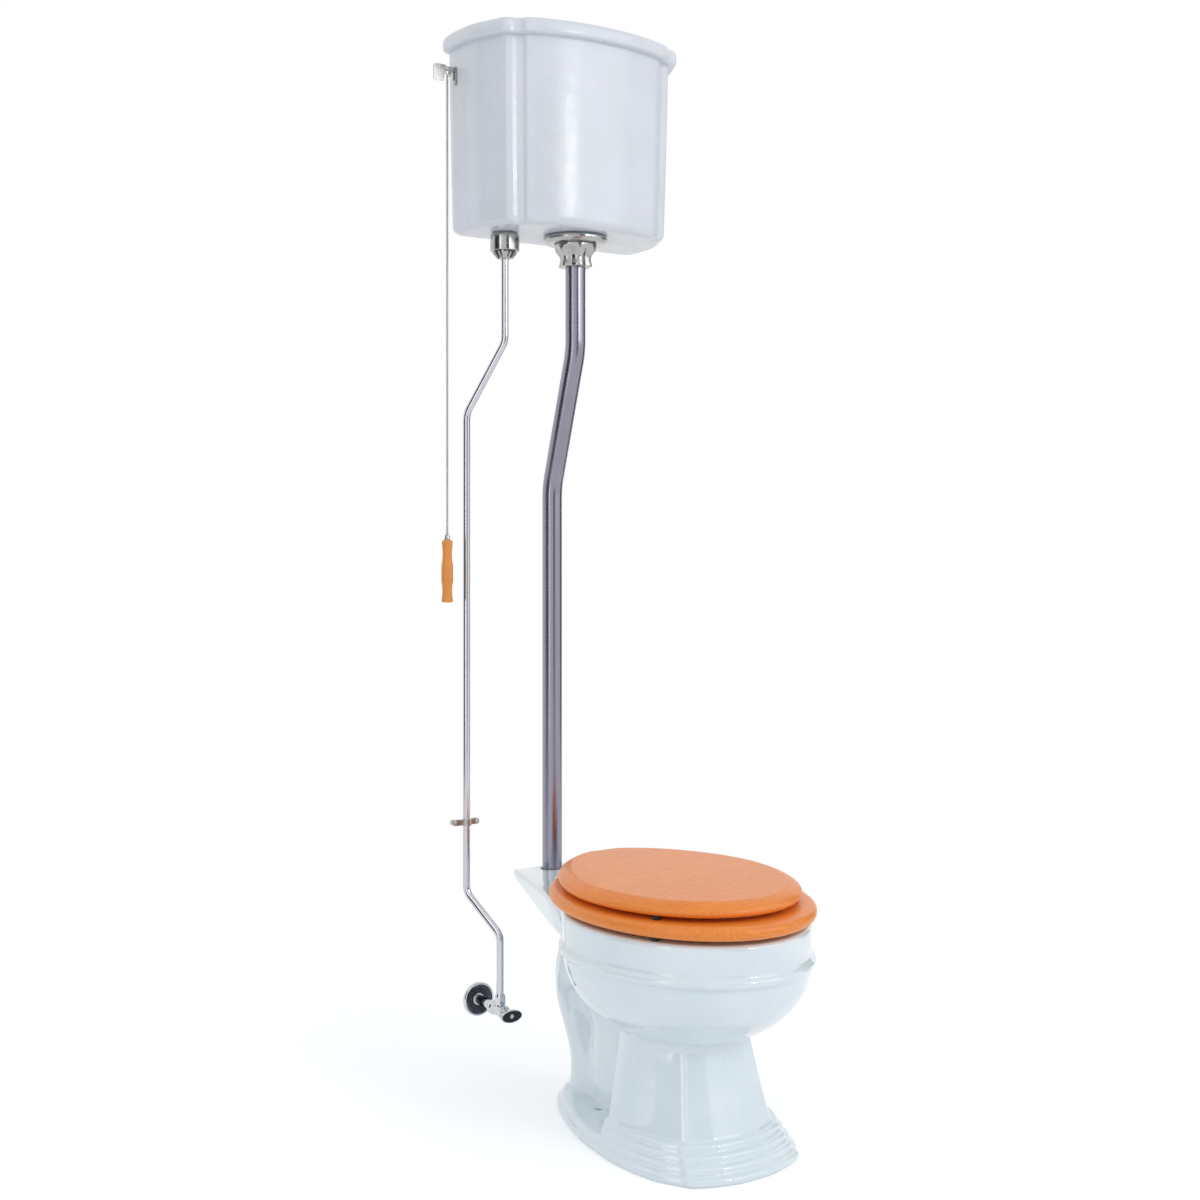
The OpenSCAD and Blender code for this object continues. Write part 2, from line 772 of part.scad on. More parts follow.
module lid_leaves() {
    color(chrome)
        leaves(lid_knuckle_x, lid_z - leaf_t);
}

// Round-headed wood screws driven upwards through the leaves
module leaf_screws(x, z) {
    pair(x)
        for (y = screw_y)
            translate([0, y, z]) {
                translate([0, 0, -1.5])
                    cylinder(r = 3.6, h = 1.5, $fn = 32);
                cylinder(r = screw_r, h = leaf_t + screw_l - 1, $fn = 24);
            }
}

module seat_leaf_screws() {
    color(chrome)
        leaf_screws(seat_knuckle_x, ring_z - leaf_t);
}

module lid_leaf_screws() {
    color(chrome)
        leaf_screws(lid_knuckle_x, lid_z - leaf_t);
}

module bumpers(spots, y, z, h) {
    for (p = spots)
        pair(p[0])
            translate([0, y + p[1], z])
                cylinder(r = bumper_r, h = h, $fn = 32);
}

module seat_bumpers() {
    color(black_rubber)
        bumpers(bumper_spots, rim_y, rim_z, seat_bumper_h);
}

module lid_bumpers() {
    color(black_rubber)
        bumpers(lid_bumper_spots, rim_y, ring_top, lid_bumper_h);
}

module hinge_posts() {
    color(chrome)
        pair(post_span / 2)
            difference() {
                union() {
                    translate([0, hinge_y, rim_z])
                        cylinder(r = 11, h = 2);
                    translate([0, hinge_y, rim_z])
                        cylinder(r = 5.5, h = hinge_z - rim_z);
                    translate([0, hinge_y, hinge_z])
                        across(knuckle_r + 0.5, post_w);
                    translate([0, hinge_y, rim_z - ledge_t - 16])
                        cylinder(r = seat_bolt_r, h = ledge_t + 16);
                }
                translate([0, hinge_y, hinge_z])
                    across(rod_r + fit, post_w + 2 * cut);
            }
}

module hinge_post_nuts() {
    color(chrome)
        pair(post_span / 2)
            translate([0, hinge_y, rim_z - ledge_t])
                difference() {
                    union() {
                        translate([0, 0, -2])
                            cylinder(r = 11, h = 2);
                        translate([0, 0, -9])
                            cylinder(r = 8.5, h = 7, $fn = 6);
                    }
                    translate([0, 0, -10])
                        cylinder(r = seat_bolt_r + fit, h = 11);
                }
}

module hinge_rod() {
    cap = rod_half_l - post_span / 2 - post_w / 2 - gap;
    color(chrome)
        translate([0, hinge_y, hinge_z]) {
            across(rod_r, 2 * rod_half_l);
            pair(rod_half_l - cap / 2)
                across(rod_r + 2, cap);
        }
}

// ---------- tank ----------

function tank_plan(half_w, front, back) = mirrored([for (p = tank_half)
    [half_w * p[0], back - (back - front) * p[1]]]);

// Body outline drawn in by an amount, with less at the back
function tank_ring(z, inset, back_inset = 0) = at(z, tank_plan(tank_half_w - inset,
    tank_front + inset, tank_back - back_inset));

// The body is one skin: up the outside, over the rim and down the inside to the floor
module tank_body() {
    mid_z = tank_z + tank_h * 0.55;
    color(china)
        difference() {
            skin([tank_ring(tank_z, tank_taper + 14, 10), tank_ring(tank_z + 2, tank_taper + 8, 5),
                tank_ring(tank_z + 6, tank_taper + 3.5, 2), tank_ring(tank_z + 12, tank_taper + 0.8),
                tank_ring(tank_z + 20, tank_taper - 0.4), tank_ring(mid_z, 1.6),
                tank_ring(rim_top, 0), tank_ring(rim_top, tank_wall, tank_wall),
                tank_ring(mid_z, tank_wall + 1.6, tank_wall),
                tank_ring(floor_top + 8, tank_taper + tank_wall, tank_wall),
                tank_ring(floor_top, tank_taper + tank_wall + 7, tank_wall + 7)]);
            translate([0, outlet_y, tank_z - cut])
                cylinder(r = shank_r + 1, h = tank_floor + 2 * cut);
            translate([-inlet_x, inlet_y, tank_z - cut])
                cylinder(r = inlet_shank_r + 1, h = tank_floor + 2 * cut);
            pair(hanger_span / 2)
                translate([0, tank_back + cut, rim_top - hanger_drop])
                    forward(hanger_hole_r, tank_wall + 2 * cut);
            translate([-tank_half_w - 10, chain_y - slot_w / 2, slot_z])
                cube([10 + tank_wall + 20, slot_w, slot_h]);
        }
}

module tank_lid() {
    function lid_ring(z, grow) = at(z, tank_plan(tank_half_w + lid_over + grow,
        tank_front - lid_over - grow, tank_back + min(grow, 0)));
    color(china) {
        skin([lid_ring(rim_top, -5), lid_ring(rim_top + 2, -2), lid_ring(rim_top + 6, 0),
            lid_ring(rim_top + tank_lid_h - 9, 0), lid_ring(rim_top + tank_lid_h - 4, -2),
            lid_ring(rim_top + tank_lid_h - 1, -6), lid_ring(rim_top + tank_lid_h, -11)]);
        pair(90)
            translate([-12, tank_front + 32, rim_top - 7])
                cube([24, 8, 7 + cut]);
    }
}

// ---------- flush valve ----------

module ring(r_out, r_in, h) {
    difference() {
        cylinder(r = r_out, h = h);
        translate([0, 0, -cut])
            cylinder(r = r_in, h = h + 2 * cut);
    }
}

module flush_valve_gasket() {
    color(black_rubber)
        translate([0, outlet_y, floor_top])
            ring(shank_r + 12, shank_r + fit, gasket_t);
}

module flush_valve_seat() {
    flange_z = floor_top + gasket_t;
    bore_r = pipe_r + 0.5;
    color(brass)
        translate([0, outlet_y, 0])
            difference() {
                union() {
                    translate([0, 0, flange_z])
                        cylinder(r = shank_r + 14, h = valve_flange_t);
                    translate([0, 0, flange_z])
                        cylinder(r = seat_r + 5, h = valve_flange_t + valve_seat_h);
                    translate([0, 0, shank_end])
                        cylinder(r = shank_r, h = flange_z - shank_end + cut);
                    translate([0, -overflow_offset, flange_z])
                        cylinder(r = overflow_r + 3, h = socket_z + 10);
                    translate([-8, -overflow_offset, flange_z])
                        cube([16, overflow_offset, 16]);
                }
                translate([0, 0, shank_end - cut])
                    cylinder(r = bore_r, h = valve_seat_top - shank_end - 6 + cut);
                translate([0, 0, valve_seat_top - 7])
                    cylinder(r1 = bore_r, r2 = seat_r, h = 5);
                translate([0, 0, valve_seat_top - 2])
                    cylinder(r = seat_r, h = 2 + cut);
                translate([0, -overflow_offset, flange_z + socket_z])
                    cylinder(r = overflow_r + fit, h = 20);
                translate([0, -overflow_offset, flange_z + 4])
                    cylinder(r = 7, h = 20);
                translate([-4, -overflow_offset, flange_z + 5])
                    cube([8, overflow_offset, 8]);
            }
}

module overflow_tube() {
    base = floor_top + gasket_t + socket_z;
    color(brass)
        translate([0, overflow_y, base])
            ring(overflow_r, overflow_r - 1.5, overflow_top - base);
}

module outlet_flange() {
    color(nickel)
        translate([0, outlet_y, tank_z])
            rotate_extrude()
                polygon([[shank_r + 0.3, 0], [flange_r - 5, 0], [flange_r - 1.5, -1.2],
                    [flange_r, -flange_t / 2], [flange_r - 1.5, 1.2 - flange_t],
                    [flange_r - 5, -flange_t], [shank_r + 0.3, -flange_t]]);
}

module outlet_lobed_nut() {
    color(nickel)
        translate([0, outlet_y, nut_z])
            difference() {
                union() {
                    cylinder(r = lobe_nut_r, h = lobe_nut_h);
                    translate([0, 0, lobe_nut_h * 0.45])
                        cylinder(r1 = lobe_nut_r, r2 = lobe_nut_r + 12, h = lobe_nut_h * 0.4);
                    translate([0, 0, lobe_nut_h * 0.85])
                        cylinder(r = lobe_nut_r + 12, h = lobe_nut_h * 0.15);
                    for (k = [0:5])
                        rotate([0, 0, 60 * k + 12])
                            translate([lobe_nut_r, 0, 0])
                                cylinder(r = 4.5, h = lobe_nut_h * 0.9, $fn = 32);
                }
                translate([0, 0, -cut])
                    cylinder(r = pipe_r + 0.3, h = 12);
                translate([0, 0, 5])
                    cylinder(r = shank_r + fit, h = lobe_nut_h);
            }
}

// Axis of the flush pipe, run past both ends by an amount
function flush_line(past) = concat(
    [[0, outlet_y, shank_end + 30 + past]],
    laid(offset_path(outlet_setback - spud_setback, pipe_slant, pipe_bend_r),
        [0, outlet_y, tank_z - pipe_bend_drop], 90),
    [[0, spud_y, rim_z - pipe_seat - past]]);

module flush_pipe() {
    color(steel)
        difference() {
            rod_along(flush_line(0), pipe_r, 40);
            rod_along(flush_line(cut), pipe_r - pipe_wall, 40);
        }
}

module flush_ball() {
    color(black_rubber)
        translate([0, outlet_y, ball_z])
            difference() {
                union() {
                    sphere(r = ball_r);
                    cylinder(r = 6, h = ball_r + 7);
                }
                translate([0, 0, 12])
                    cylinder(r = lift_rod_r + fit, h = ball_r);
            }
}

module lift_rod() {
    bottom = ball_z + 12.2;
    color(brass)
        translate([0, outlet_y, bottom])
            cylinder(r = lift_rod_r, h = collar_z + collar_h + 5 - bottom);
}

module lift_rod_collar() {
    color(brass)
        translate([0, outlet_y, collar_z])
            ring(6, lift_rod_r + fit, collar_h);
}

module lift_rod_guide() {
    color(brass)
        translate([0, overflow_y, floor_top + 120])
            difference() {
                union() {
                    cylinder(r = overflow_r + 3, h = 8);
                    translate([-3, overflow_r, 0])
                        cube([6, overflow_offset - overflow_r, 8]);
                    translate([0, overflow_offset, 0])
                        cylinder(r = 6, h = 8);
                }
                translate([0, 0, -cut])
                    cylinder(r = overflow_r + fit, h = 10);
                translate([0, overflow_offset, -cut])
                    cylinder(r = lift_rod_r + gap, h = 10);
            }
}

// ---------- ballcock ----------

module ballcock_gasket() {
    color(black_rubber)
        translate([-inlet_x, inlet_y, floor_top])
            ring(19, inlet_shank_r + fit, gasket_t);
}

module ballcock_body() {
    base = floor_top + gasket_t;
    bottom = tank_z - cup_h - 4;
    color(brass)
        translate([-inlet_x, inlet_y, 0])
            difference() {
                union() {
                    translate([0, 0, base])
                        cylinder(r = 20, h = 4);
                    translate([0, 0, bottom])
                        cylinder(r = inlet_shank_r, h = base - bottom + cut);
                    translate([0, 0, base])
                        cylinder(r = riser_r, h = riser_top - base);
                    translate([0, 0, riser_top - 24])
                        cylinder(r = riser_r + 5, h = 24);
                    translate([0, 0, refill_z])
                        rotate([0, 90, refill_angle])
                            cylinder(r = 4, h = riser_r + 12);
                    for (side = [-1, 1])
                        translate([plunger_offset - 6, side * (ear_w / 2 + gap + ear_t / 2) - ear_t / 2,
                            riser_top - cut])
                            cube([12, ear_t, 16 + cut]);
                }
                translate([0, 0, bottom - cut])
                    cylinder(r = shank_bore, h = riser_top - 40 - bottom);
                translate([0, 0, riser_top - 20])
                    cylinder(r = plunger_r + fit, h = 20 + cut);
                translate([plunger_offset, 0, float_pivot_z])
                    rotate([90, 0, 0])
                        translate([0, 0, -15])
                            cylinder(r = 2 + fit, h = 30, $fn = 24);
            }
}

module ballcock_plunger() {
    bottom = riser_top - 12;
    top = float_pivot_z + plunger_offset * sin(float_drop) - 4.5;
    color(brass)
        translate([-inlet_x, inlet_y, bottom])
            cylinder(r = plunger_r, h = top - bottom);
}

module float_pin() {
    half = ear_w / 2 + gap + ear_t + 1;
    color(brass)
        translate([float_pivot_x, inlet_y + half, float_pivot_z])
            forward(2, 2 * half);
}

module float_arm() {
    color(brass)
        translate([float_pivot_x, inlet_y, float_pivot_z])
            difference() {
                union() {
                    translate([0, ear_w / 2, 0])
                        forward(5, ear_w);
                    rotate([0, 90 + float_drop, 0])
                        translate([0, 0, -plunger_offset / cos(float_drop) - 3])
                            cylinder(r = float_rod_r,
                                h = float_arm_l - float_r + 8 + plunger_offset / cos(float_drop) + 3);
                }
                translate([0, 10, 0])
                    forward(2 + fit, 20);
            }
}

module float_ball() {
    color("#B87333")
        translate([float_x, inlet_y, float_z])
            rotate([0, 90 + float_drop, 0])
                difference() {
                    union() {
                        sphere(r = float_r);
                        translate([0, 0, -float_r - 3])
                            cylinder(r = 6, h = 8);
                    }
                    translate([0, 0, -float_r - 5])
                        cylinder(r = float_rod_r + fit, h = 14);
                }
}

module refill_tube() {
    start = riser_r + 12;
    path = [[start, refill_z], [start + 14, refill_z + 1], [start + 32, refill_z + 10],
        [start + 56, refill_z + 34], [refill_l - 42, refill_z + 52],
        [refill_l - 20, overflow_top + 24], [refill_l - 7, overflow_top + 20],
        [refill_l - 1, overflow_top + 8], [refill_l, overflow_top - 14]];
    color("#DADADA")
        rod_along(laid(path, [-inlet_x, inlet_y, 0], refill_angle), 3, 12);
}

module inlet_cup_nut() {
    color(nickel)
        translate([-inlet_x, inlet_y, tank_z])
            rotate_extrude()
                polygon([[inlet_shank_r + fit, 0], [cup_r - 4, 0], [cup_r - 1.2, -1.5], [cup_r, -5],
                    [cup_r, 3 - cup_h], [cup_r - 1.5, -cup_h], [inlet_shank_r + fit, -cup_h]]);
}

module supply_coupling_nut() {
    ribs = 12;
    color(nickel)
        translate([-inlet_x, inlet_y, tank_z - cup_h])
            difference() {
                union() {
                    translate([0, 0, -rib_nut_h])
                        cylinder(r1 = tube_r + 2.5, r2 = cup_r - 6, h = rib_nut_h);
                    for (k = [0:ribs - 1])
                        rotate([0, 0, 360 * k / ribs])
                            rotate([90, 0, 0])
                                translate([0, 0, -1.2])
                                    linear_extrude(2.4)
                                        polygon([[5, 0], [cup_r - 3, 0], [cup_r - 3, -3],
                                            [tube_r + 4, -rib_nut_h], [5, -rib_nut_h]]);
                }
                translate([0, 0, -rib_nut_h - cut])
                    cylinder(r = tube_r + fit, h = rib_nut_h + 2 * cut);
                translate([0, 0, -4])
                    cylinder(r = inlet_shank_r + fit, h = 4 + cut);
            }
}

// ---------- supply ----------

function plan_angle(d) = atan2(d[1], d[0]);

// Axis of the supply tube, run past both ends by an amount
function supply_line(past) = concat(
    [[-inlet_x, inlet_y, tube_top + past]],
    laid(offset_path(norm(to_run), tube_slant, tube_bend_r),
        [-inlet_x, inlet_y, tank_z - tube_bend_drop], plan_angle(to_run)),
    laid(offset_path(norm(to_stop), tube_low_slant, low_bend_r),
        [-run_x, run_y, tube_low_bend], plan_angle(to_stop)),
    [[-stop_x, stop_y, tube_bottom - past]]);

module supply_tube() {
    color(chrome)
        difference() {
            rod_along(supply_line(0), tube_r, 24);
            rod_along(supply_line(cut), tube_r - tube_wall, 24);
        }
}

module pipe_clamp() {
    plate_y = 2;
    plate_t = 3.5;
    color(nickel)
        translate([-run_x, run_y, clamp_z])
            difference() {
                union() {
                    translate([0, 0, -clamp_h / 2])
                        cylinder(r = tube_r + 2.5, h = clamp_h);
                    translate([-clamp_ear, plate_y, -clamp_h / 2])
                        cube([2 * clamp_ear, plate_t, clamp_h]);
                    pair(clamp_ear)
                        translate([0, run_setback, 0])
                            forward(clamp_h / 2, run_setback - plate_y);
                }
                translate([0, 0, -clamp_h])
                    cylinder(r = tube_r + fit, h = 2 * clamp_h);
                pair(clamp_ear)
                    translate([0, run_setback + cut, 0])
                        forward(clamp_screw_r + fit, 2 * run_setback);
                translate([-20, run_setback, -clamp_h])
                    cube([40, 10, 2 * clamp_h]);
            }
}

module clamp_screws() {
    color(nickel)
        pair(clamp_ear)
            translate([-run_x, run_y + 2, clamp_z]) {
                translate([0, run_setback - 2.5, 0])
                    forward(clamp_screw_r, run_setback - 2.5);
                rotate([90, 0, 0])
                    rotate_extrude($fn = 32)
                        polygon([[0, 0], [4.2, 0], [4, 1.2], [2.8, 2.4], [0, 2.9]]);
            }
}

// ---------- stop valve ----------

module stop_valve_body() {
    back = stop_y + 27;
    color(chrome)
        translate([-stop_x, 0, stop_z])
            difference() {
                union() {
                    translate([0, back, 0])
                        forward(barrel_r, back - barrel_front);
                    translate([0, back, 0])
                        forward(barrel_r + 1.5, 9);
                    translate([0, barrel_front + cut, 0])
                        forward(8, packing_l + cut);
                    translate([0, stop_y, 0])
                        cylinder(r = boss_r, h = boss_top - stop_z);
                }
                translate([0, back + cut, 0])
                    forward(nipple_r + fit, socket_d + cut);
                translate([0, back - socket_d + cut, 0])
                    forward(5, back - socket_d - stop_y + 4);
                translate([0, stop_y, 0])
                    cylinder(r = 5, h = 40);
                translate([0, stop_y, tube_bottom - stop_z])
                    cylinder(r = tube_r + fit, h = 40);
                translate([0, barrel_front + 10, 0])
                    forward(stem_r + fit, 10 + packing_l + cut);
            }
}

module compression_nut() {
    color(chrome)
        translate([-stop_x, stop_y, boss_top - 6])
            difference() {
                union() {
                    cylinder(r = 10.5, h = 12, $fn = 6);
                    translate([0, 0, 12])
                        cylinder(r1 = 8.6, r2 = 7.4, h = 4);
                }
                translate([0, 0, -cut])
                    cylinder(r = boss_r + fit, h = 6 + cut);
                translate([0, 0, 5])
                    cylinder(r = tube_r + fit, h = 12);
            }
}

module stop_valve_stem() {
    color(chrome)
        translate([-stop_x, barrel_front + 8, stop_z])
            forward(stem_r, barrel_front + 8 - handle_back + oval_t - 4);
}

module stop_valve_handle() {
    color(black_rubber)
        translate([-stop_x, handle_back, stop_z])
            rotate([90, 0, 0])
                difference() {
                    union() {
                        translate([0, 0, 2])
                            linear_extrude(oval_t - 2)
                                polygon(oval(oval_half_w, oval_half_h, oval_half_h, 0));
                        linear_extrude(3)
                            polygon(oval(oval_half_w - 3, oval_half_h - 3, oval_half_h - 3, 0));
                    }
                    translate([0, 0, oval_t - 2])
                        linear_extrude(3)
                            polygon(oval(oval_half_w - 2, oval_half_h - 2, oval_half_h - 2, 0));
                    translate([0, 0, -cut])
                        cylinder(r = stem_r + fit, h = oval_t - 3);
                    cylinder(r = 1.5 + fit, h = oval_t + cut, $fn = 24);
                }
}

module handle_screw() {
    color(chrome)
        translate([-stop_x, handle_back - oval_t + 4, stop_z]) {
            forward(1.5, 3);
            translate([0, -2, 0])
                forward(3.5, 1.6);
        }
}

module escutcheon() {
    hole = nipple_r + fit;
    color(chrome)
        translate([-stop_x, rough_in, stop_z])
            rotate([90, 0, 0])
                rotate_extrude()
                    polygon([[hole, 0], [escutcheon_r - 2, 0], [escutcheon_r, 2.5],
                        [escutcheon_r, escutcheon_d - 2.5], [escutcheon_r - 1.2, escutcheon_d - 0.6],
                        [escutcheon_r - 2.8, escutcheon_d - 0.8], [escutcheon_r - 4, escutcheon_d - 3],
                        [escutcheon_r - 8, 3.6], [hole + 4, 2.6], [hole + 2, 6], [hole, 6]]);
}

module wall_nipple() {
    front = stop_y + 27 - socket_d + 1;
    color(chrome)
        translate([-stop_x, rough_in, stop_z])
            rotate([90, 0, 0])
                ring(nipple_r, 6, rough_in - front);
}

// ---------- lever and chain ----------

module lever_bracket() {
    out_x = -tank_half_w - 3;
    in_x = 9 - pivot_x;
    half = cheek_y + bracket_t;
    color(nickel)
        difference() {
            union() {
                translate([out_x, chain_y - half, slot_z])
                    cube([in_x - out_x, 2 * half, slot_h - gap]);
                translate([out_x, chain_y - half, slot_z - 6])
                    cube([bracket_t, 2 * half, 6 + cut]);
                translate([gap + tank_wall + 1 - tank_half_w, chain_y - half, slot_z - 16])
                    cube([bracket_t, 2 * half, 16 + cut]);
            }
            translate([out_x - cut, chain_y - cheek_y, slot_z + bracket_t])
                cube([in_x - out_x + 2 * cut, 2 * cheek_y, slot_h]);
            translate([-pivot_x, chain_y + 10, pivot_z])
                forward(pin_r + fit, 20);
        }
}

module lever_pin() {
    half = cheek_y + bracket_t + 1;
    color(nickel)
        translate([-pivot_x, chain_y + half, pivot_z]) {
            forward(pin_r, 2 * half);
            forward(pin_r + 1.5, 0.8);
            translate([0, 0.8 - 2 * half, 0])
                forward(pin_r + 1.5, 0.8);
        }
}

// Small block of the lever bar, for the cranked arm's ends
module knot(x, y, z) {
    translate([x, y, z])
        cube([lever_t, lever_t, lever_h], center = true);
}

module flush_lever() {
    elbow_x = 22 - pivot_x;
    slot_half = lift_rod_r + 0.8;
    color(nickel)
        difference() {
            union() {
                translate([-chain_x - 8, chain_y - lever_t / 2, pivot_z - lever_h / 2])
                    cube([chain_x + 8 + elbow_x, lever_t, lever_h]);
                hull() {
                    knot(elbow_x, chain_y, pivot_z);
                    knot(-30, outlet_y, lever_end_z);
                }
                translate([-31, outlet_y - 2.5, lever_end_z - lever_h / 2])
                    cube([26, 5, lever_h]);
                translate([0, outlet_y, lever_end_z - lever_h / 2])
                    cylinder(r = 11, h = lever_h);
                rotate([90, 0, 0])
                    translate([0, 0, -chain_y - lever_plate_t / 2])
                        linear_extrude(lever_plate_t)
                            polygon([[12 - chain_x, pivot_z - 2], [chain_room - chain_x, pivot_z - 2],
                                [chain_room - chain_x, pivot_z - 14]]);
                hull()
                    for (x = [-chain_x - 22, -chain_x - 6], z = [pivot_z - 18, pivot_z + 2])
                        translate([x, chain_y + lever_plate_t / 2, z])
                            forward(4, lever_plate_t, $fn = 32);
            }
            // Room for the chain, which stays upright while the lever tips
            rotate([90, 0, 0])
                translate([0, 0, -chain_y - 5])
                    linear_extrude(10)
                        polygon([[-chain_x - 4, pivot_z - lever_h / 2 - cut],
                            [chain_room - chain_x, pivot_z - lever_h / 2 - cut],
                            [chain_room - chain_x, pivot_z - 30], [-chain_x - 8.8, pivot_z - 30]]);
            translate([-pivot_x, chain_y + 10, pivot_z])
                forward(pin_r + fit, 20);
            translate([0, outlet_y, lever_end_z - lever_h])
                linear_extrude(2 * lever_h)
                    square([14, 2 * slot_half], center = true);
            translate([-chain_x, chain_y + 10, eye_z])
                forward(eye_r, 20);
        }
}

module chain_hook() {
    color(nickel)
        translate([-chain_x, chain_y, hook_z])
            rotate([0, 90, 0])
                rotate_extrude($fn = 48)
                    translate([hook_r, 0])
                        circle(r = wire_r, $fn = 16);
}

module pull_chain() {
    color(nickel)
        translate([-chain_x, chain_y, chain_top]) {
            for (i = [0:beads - 1])
                translate([0, 0, -i * bead_pitch])
                    sphere(r = bead_r, $fn = 24);
            translate([0, 0, -(beads - 1) * bead_pitch])
                cylinder(r = 0.9, h = (beads - 1) * bead_pitch, $fn = 24);
        }
}

module chain_bell() {
    color(nickel)
        translate([-chain_x, chain_y, bell_top])
            rotate_extrude($fn = 32)
                polygon([[1.3, 0], [2.6, 0], [3.6, -1.2], [4, -3.5], [5, -bell_h + 2], [5, -bell_h],
                    [bead_r + 0.3, -bell_h], [bead_r + 0.3, -1.6], [1.3, -0.6]]);
}

module pull_handle() {
    color(oak)
        translate([-chain_x, chain_y, handle_top])
            rotate_extrude()
                polygon(concat([[0, 0]], [for (p = handle_turning) [handle_r * p[1], -handle_l * p[0]]],
                    [[0, -handle_l]]));
}

toilet_bowl();
bowl_inlet_seal();
hinge_posts();
hinge_post_nuts();
hinge_rod();
seat_ring();
seat_leaves();
seat_leaf_screws();
seat_bumpers();
seat_lid();
lid_leaves();
lid_leaf_screws();
lid_bumpers();
tank_body();
tank_lid();
flush_valve_gasket();
flush_valve_seat();
overflow_tube();
outlet_flange();
outlet_lobed_nut();
flush_pipe();
flush_ball();
lift_rod();
lift_rod_collar();
lift_rod_guide();
ballcock_gasket();
ballcock_body();
ballcock_plunger();
float_pin();
float_arm();
float_ball();
refill_tube();
inlet_cup_nut();
supply_coupling_nut();
supply_tube();
pipe_clamp();
clamp_screws();
compression_nut();
stop_valve_body();
stop_valve_stem();
stop_valve_handle();
handle_screw();
escutcheon();
wall_nipple();
lever_bracket();
lever_pin();
flush_lever();
chain_hook();
pull_chain();
chain_bell();
pull_handle();
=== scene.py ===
"""Looks of a high tank pull chain toilet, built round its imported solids."""

import logging
import math
from dataclasses import dataclass
from enum import Enum
from typing import Callable, Sequence

import bmesh
import bpy
import numpy as np
import openvdb
from mathutils import Matrix, Vector


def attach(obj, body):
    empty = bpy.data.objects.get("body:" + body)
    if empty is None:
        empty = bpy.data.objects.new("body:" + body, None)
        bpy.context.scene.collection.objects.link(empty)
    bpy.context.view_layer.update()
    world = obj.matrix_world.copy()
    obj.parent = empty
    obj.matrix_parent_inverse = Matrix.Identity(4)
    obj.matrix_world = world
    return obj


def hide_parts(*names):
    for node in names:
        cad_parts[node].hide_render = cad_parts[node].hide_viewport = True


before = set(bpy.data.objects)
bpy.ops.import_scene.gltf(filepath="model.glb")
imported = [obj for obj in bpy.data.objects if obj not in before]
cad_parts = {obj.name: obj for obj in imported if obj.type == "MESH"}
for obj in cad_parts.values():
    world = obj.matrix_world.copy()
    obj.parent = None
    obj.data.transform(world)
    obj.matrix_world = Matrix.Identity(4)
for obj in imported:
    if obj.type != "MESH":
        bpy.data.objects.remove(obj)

MM = 0.001
TINY = 1e-6
SMOOTH_ANGLE = math.radians(38)
BROAD_ANGLE = math.radians(50)
LOG = logging.getLogger("toilet")

Corner = tuple[float, float, float]


# ---------- names ----------


class Body(str, Enum):
    """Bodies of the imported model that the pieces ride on."""

    FIXTURE = "fixture"
    SEAT = "seat"
    LID = "lid"
    CHAIN = "chain"
    VALVE_HANDLE = "valve_handle"


class Slot(str, Enum):
    """Material slots of the record."""

    CHINA = "white_china"
    OAK = "oiled_oak"
    CHROME = "chrome"
    NICKEL = "nickel"
    PIPE = "satin_pipe"
    BRASS = "brass"
    COPPER = "copper"
    RUBBER = "black_rubber"
    PLASTIC = "black_plastic"
    CLEAR = "clear_tube"


class Grain(Enum):
    """Direction in which a piece of wood was cut, as the turn that lays local X along it."""

    ACROSS = (0.0, 0.0, 0.0)
    UPRIGHT = (0.0, math.pi / 2, 0.0)


# ---------- materials ----------


def linear(hex_colour: str) -> tuple[float, float, float, float]:
    """Turns an sRGB hex colour into the linear colour that Blender's sockets hold.

    Args:
        hex_colour: The colour as "#RRGGBB".

    Returns:
        Red, green, blue and an alpha of 1.
    """
    parts = [int(hex_colour[i : i + 2], 16) / 255 for i in (1, 3, 5)]
    lin = [c / 12.92 if c <= 0.04045 else ((c + 0.055) / 1.055) ** 2.4 for c in parts]
    return (*lin, 1.0)


def add_node(
    tree: bpy.types.NodeTree,
    kind: str,
    settings: dict | None = None,
    values: dict | None = None,
    links: dict | None = None,
) -> bpy.types.Node:
    """Adds a node to a tree.

    Args:
        tree: The tree that gets the node.
        kind: Blender's name for the kind of node.
        settings: Properties of the node itself.
        values: Socket values by socket name or number.
        links: Source sockets by socket name or number.

    Returns:
        The new node.
    """
    node = tree.nodes.new(kind)
    for key, value in (settings or {}).items():
        setattr(node, key, value)
    for key, value in (values or {}).items():
        node.inputs[key].default_value = value
    for key, source in (links or {}).items():
        tree.links.new(source, node.inputs[key])
    return node


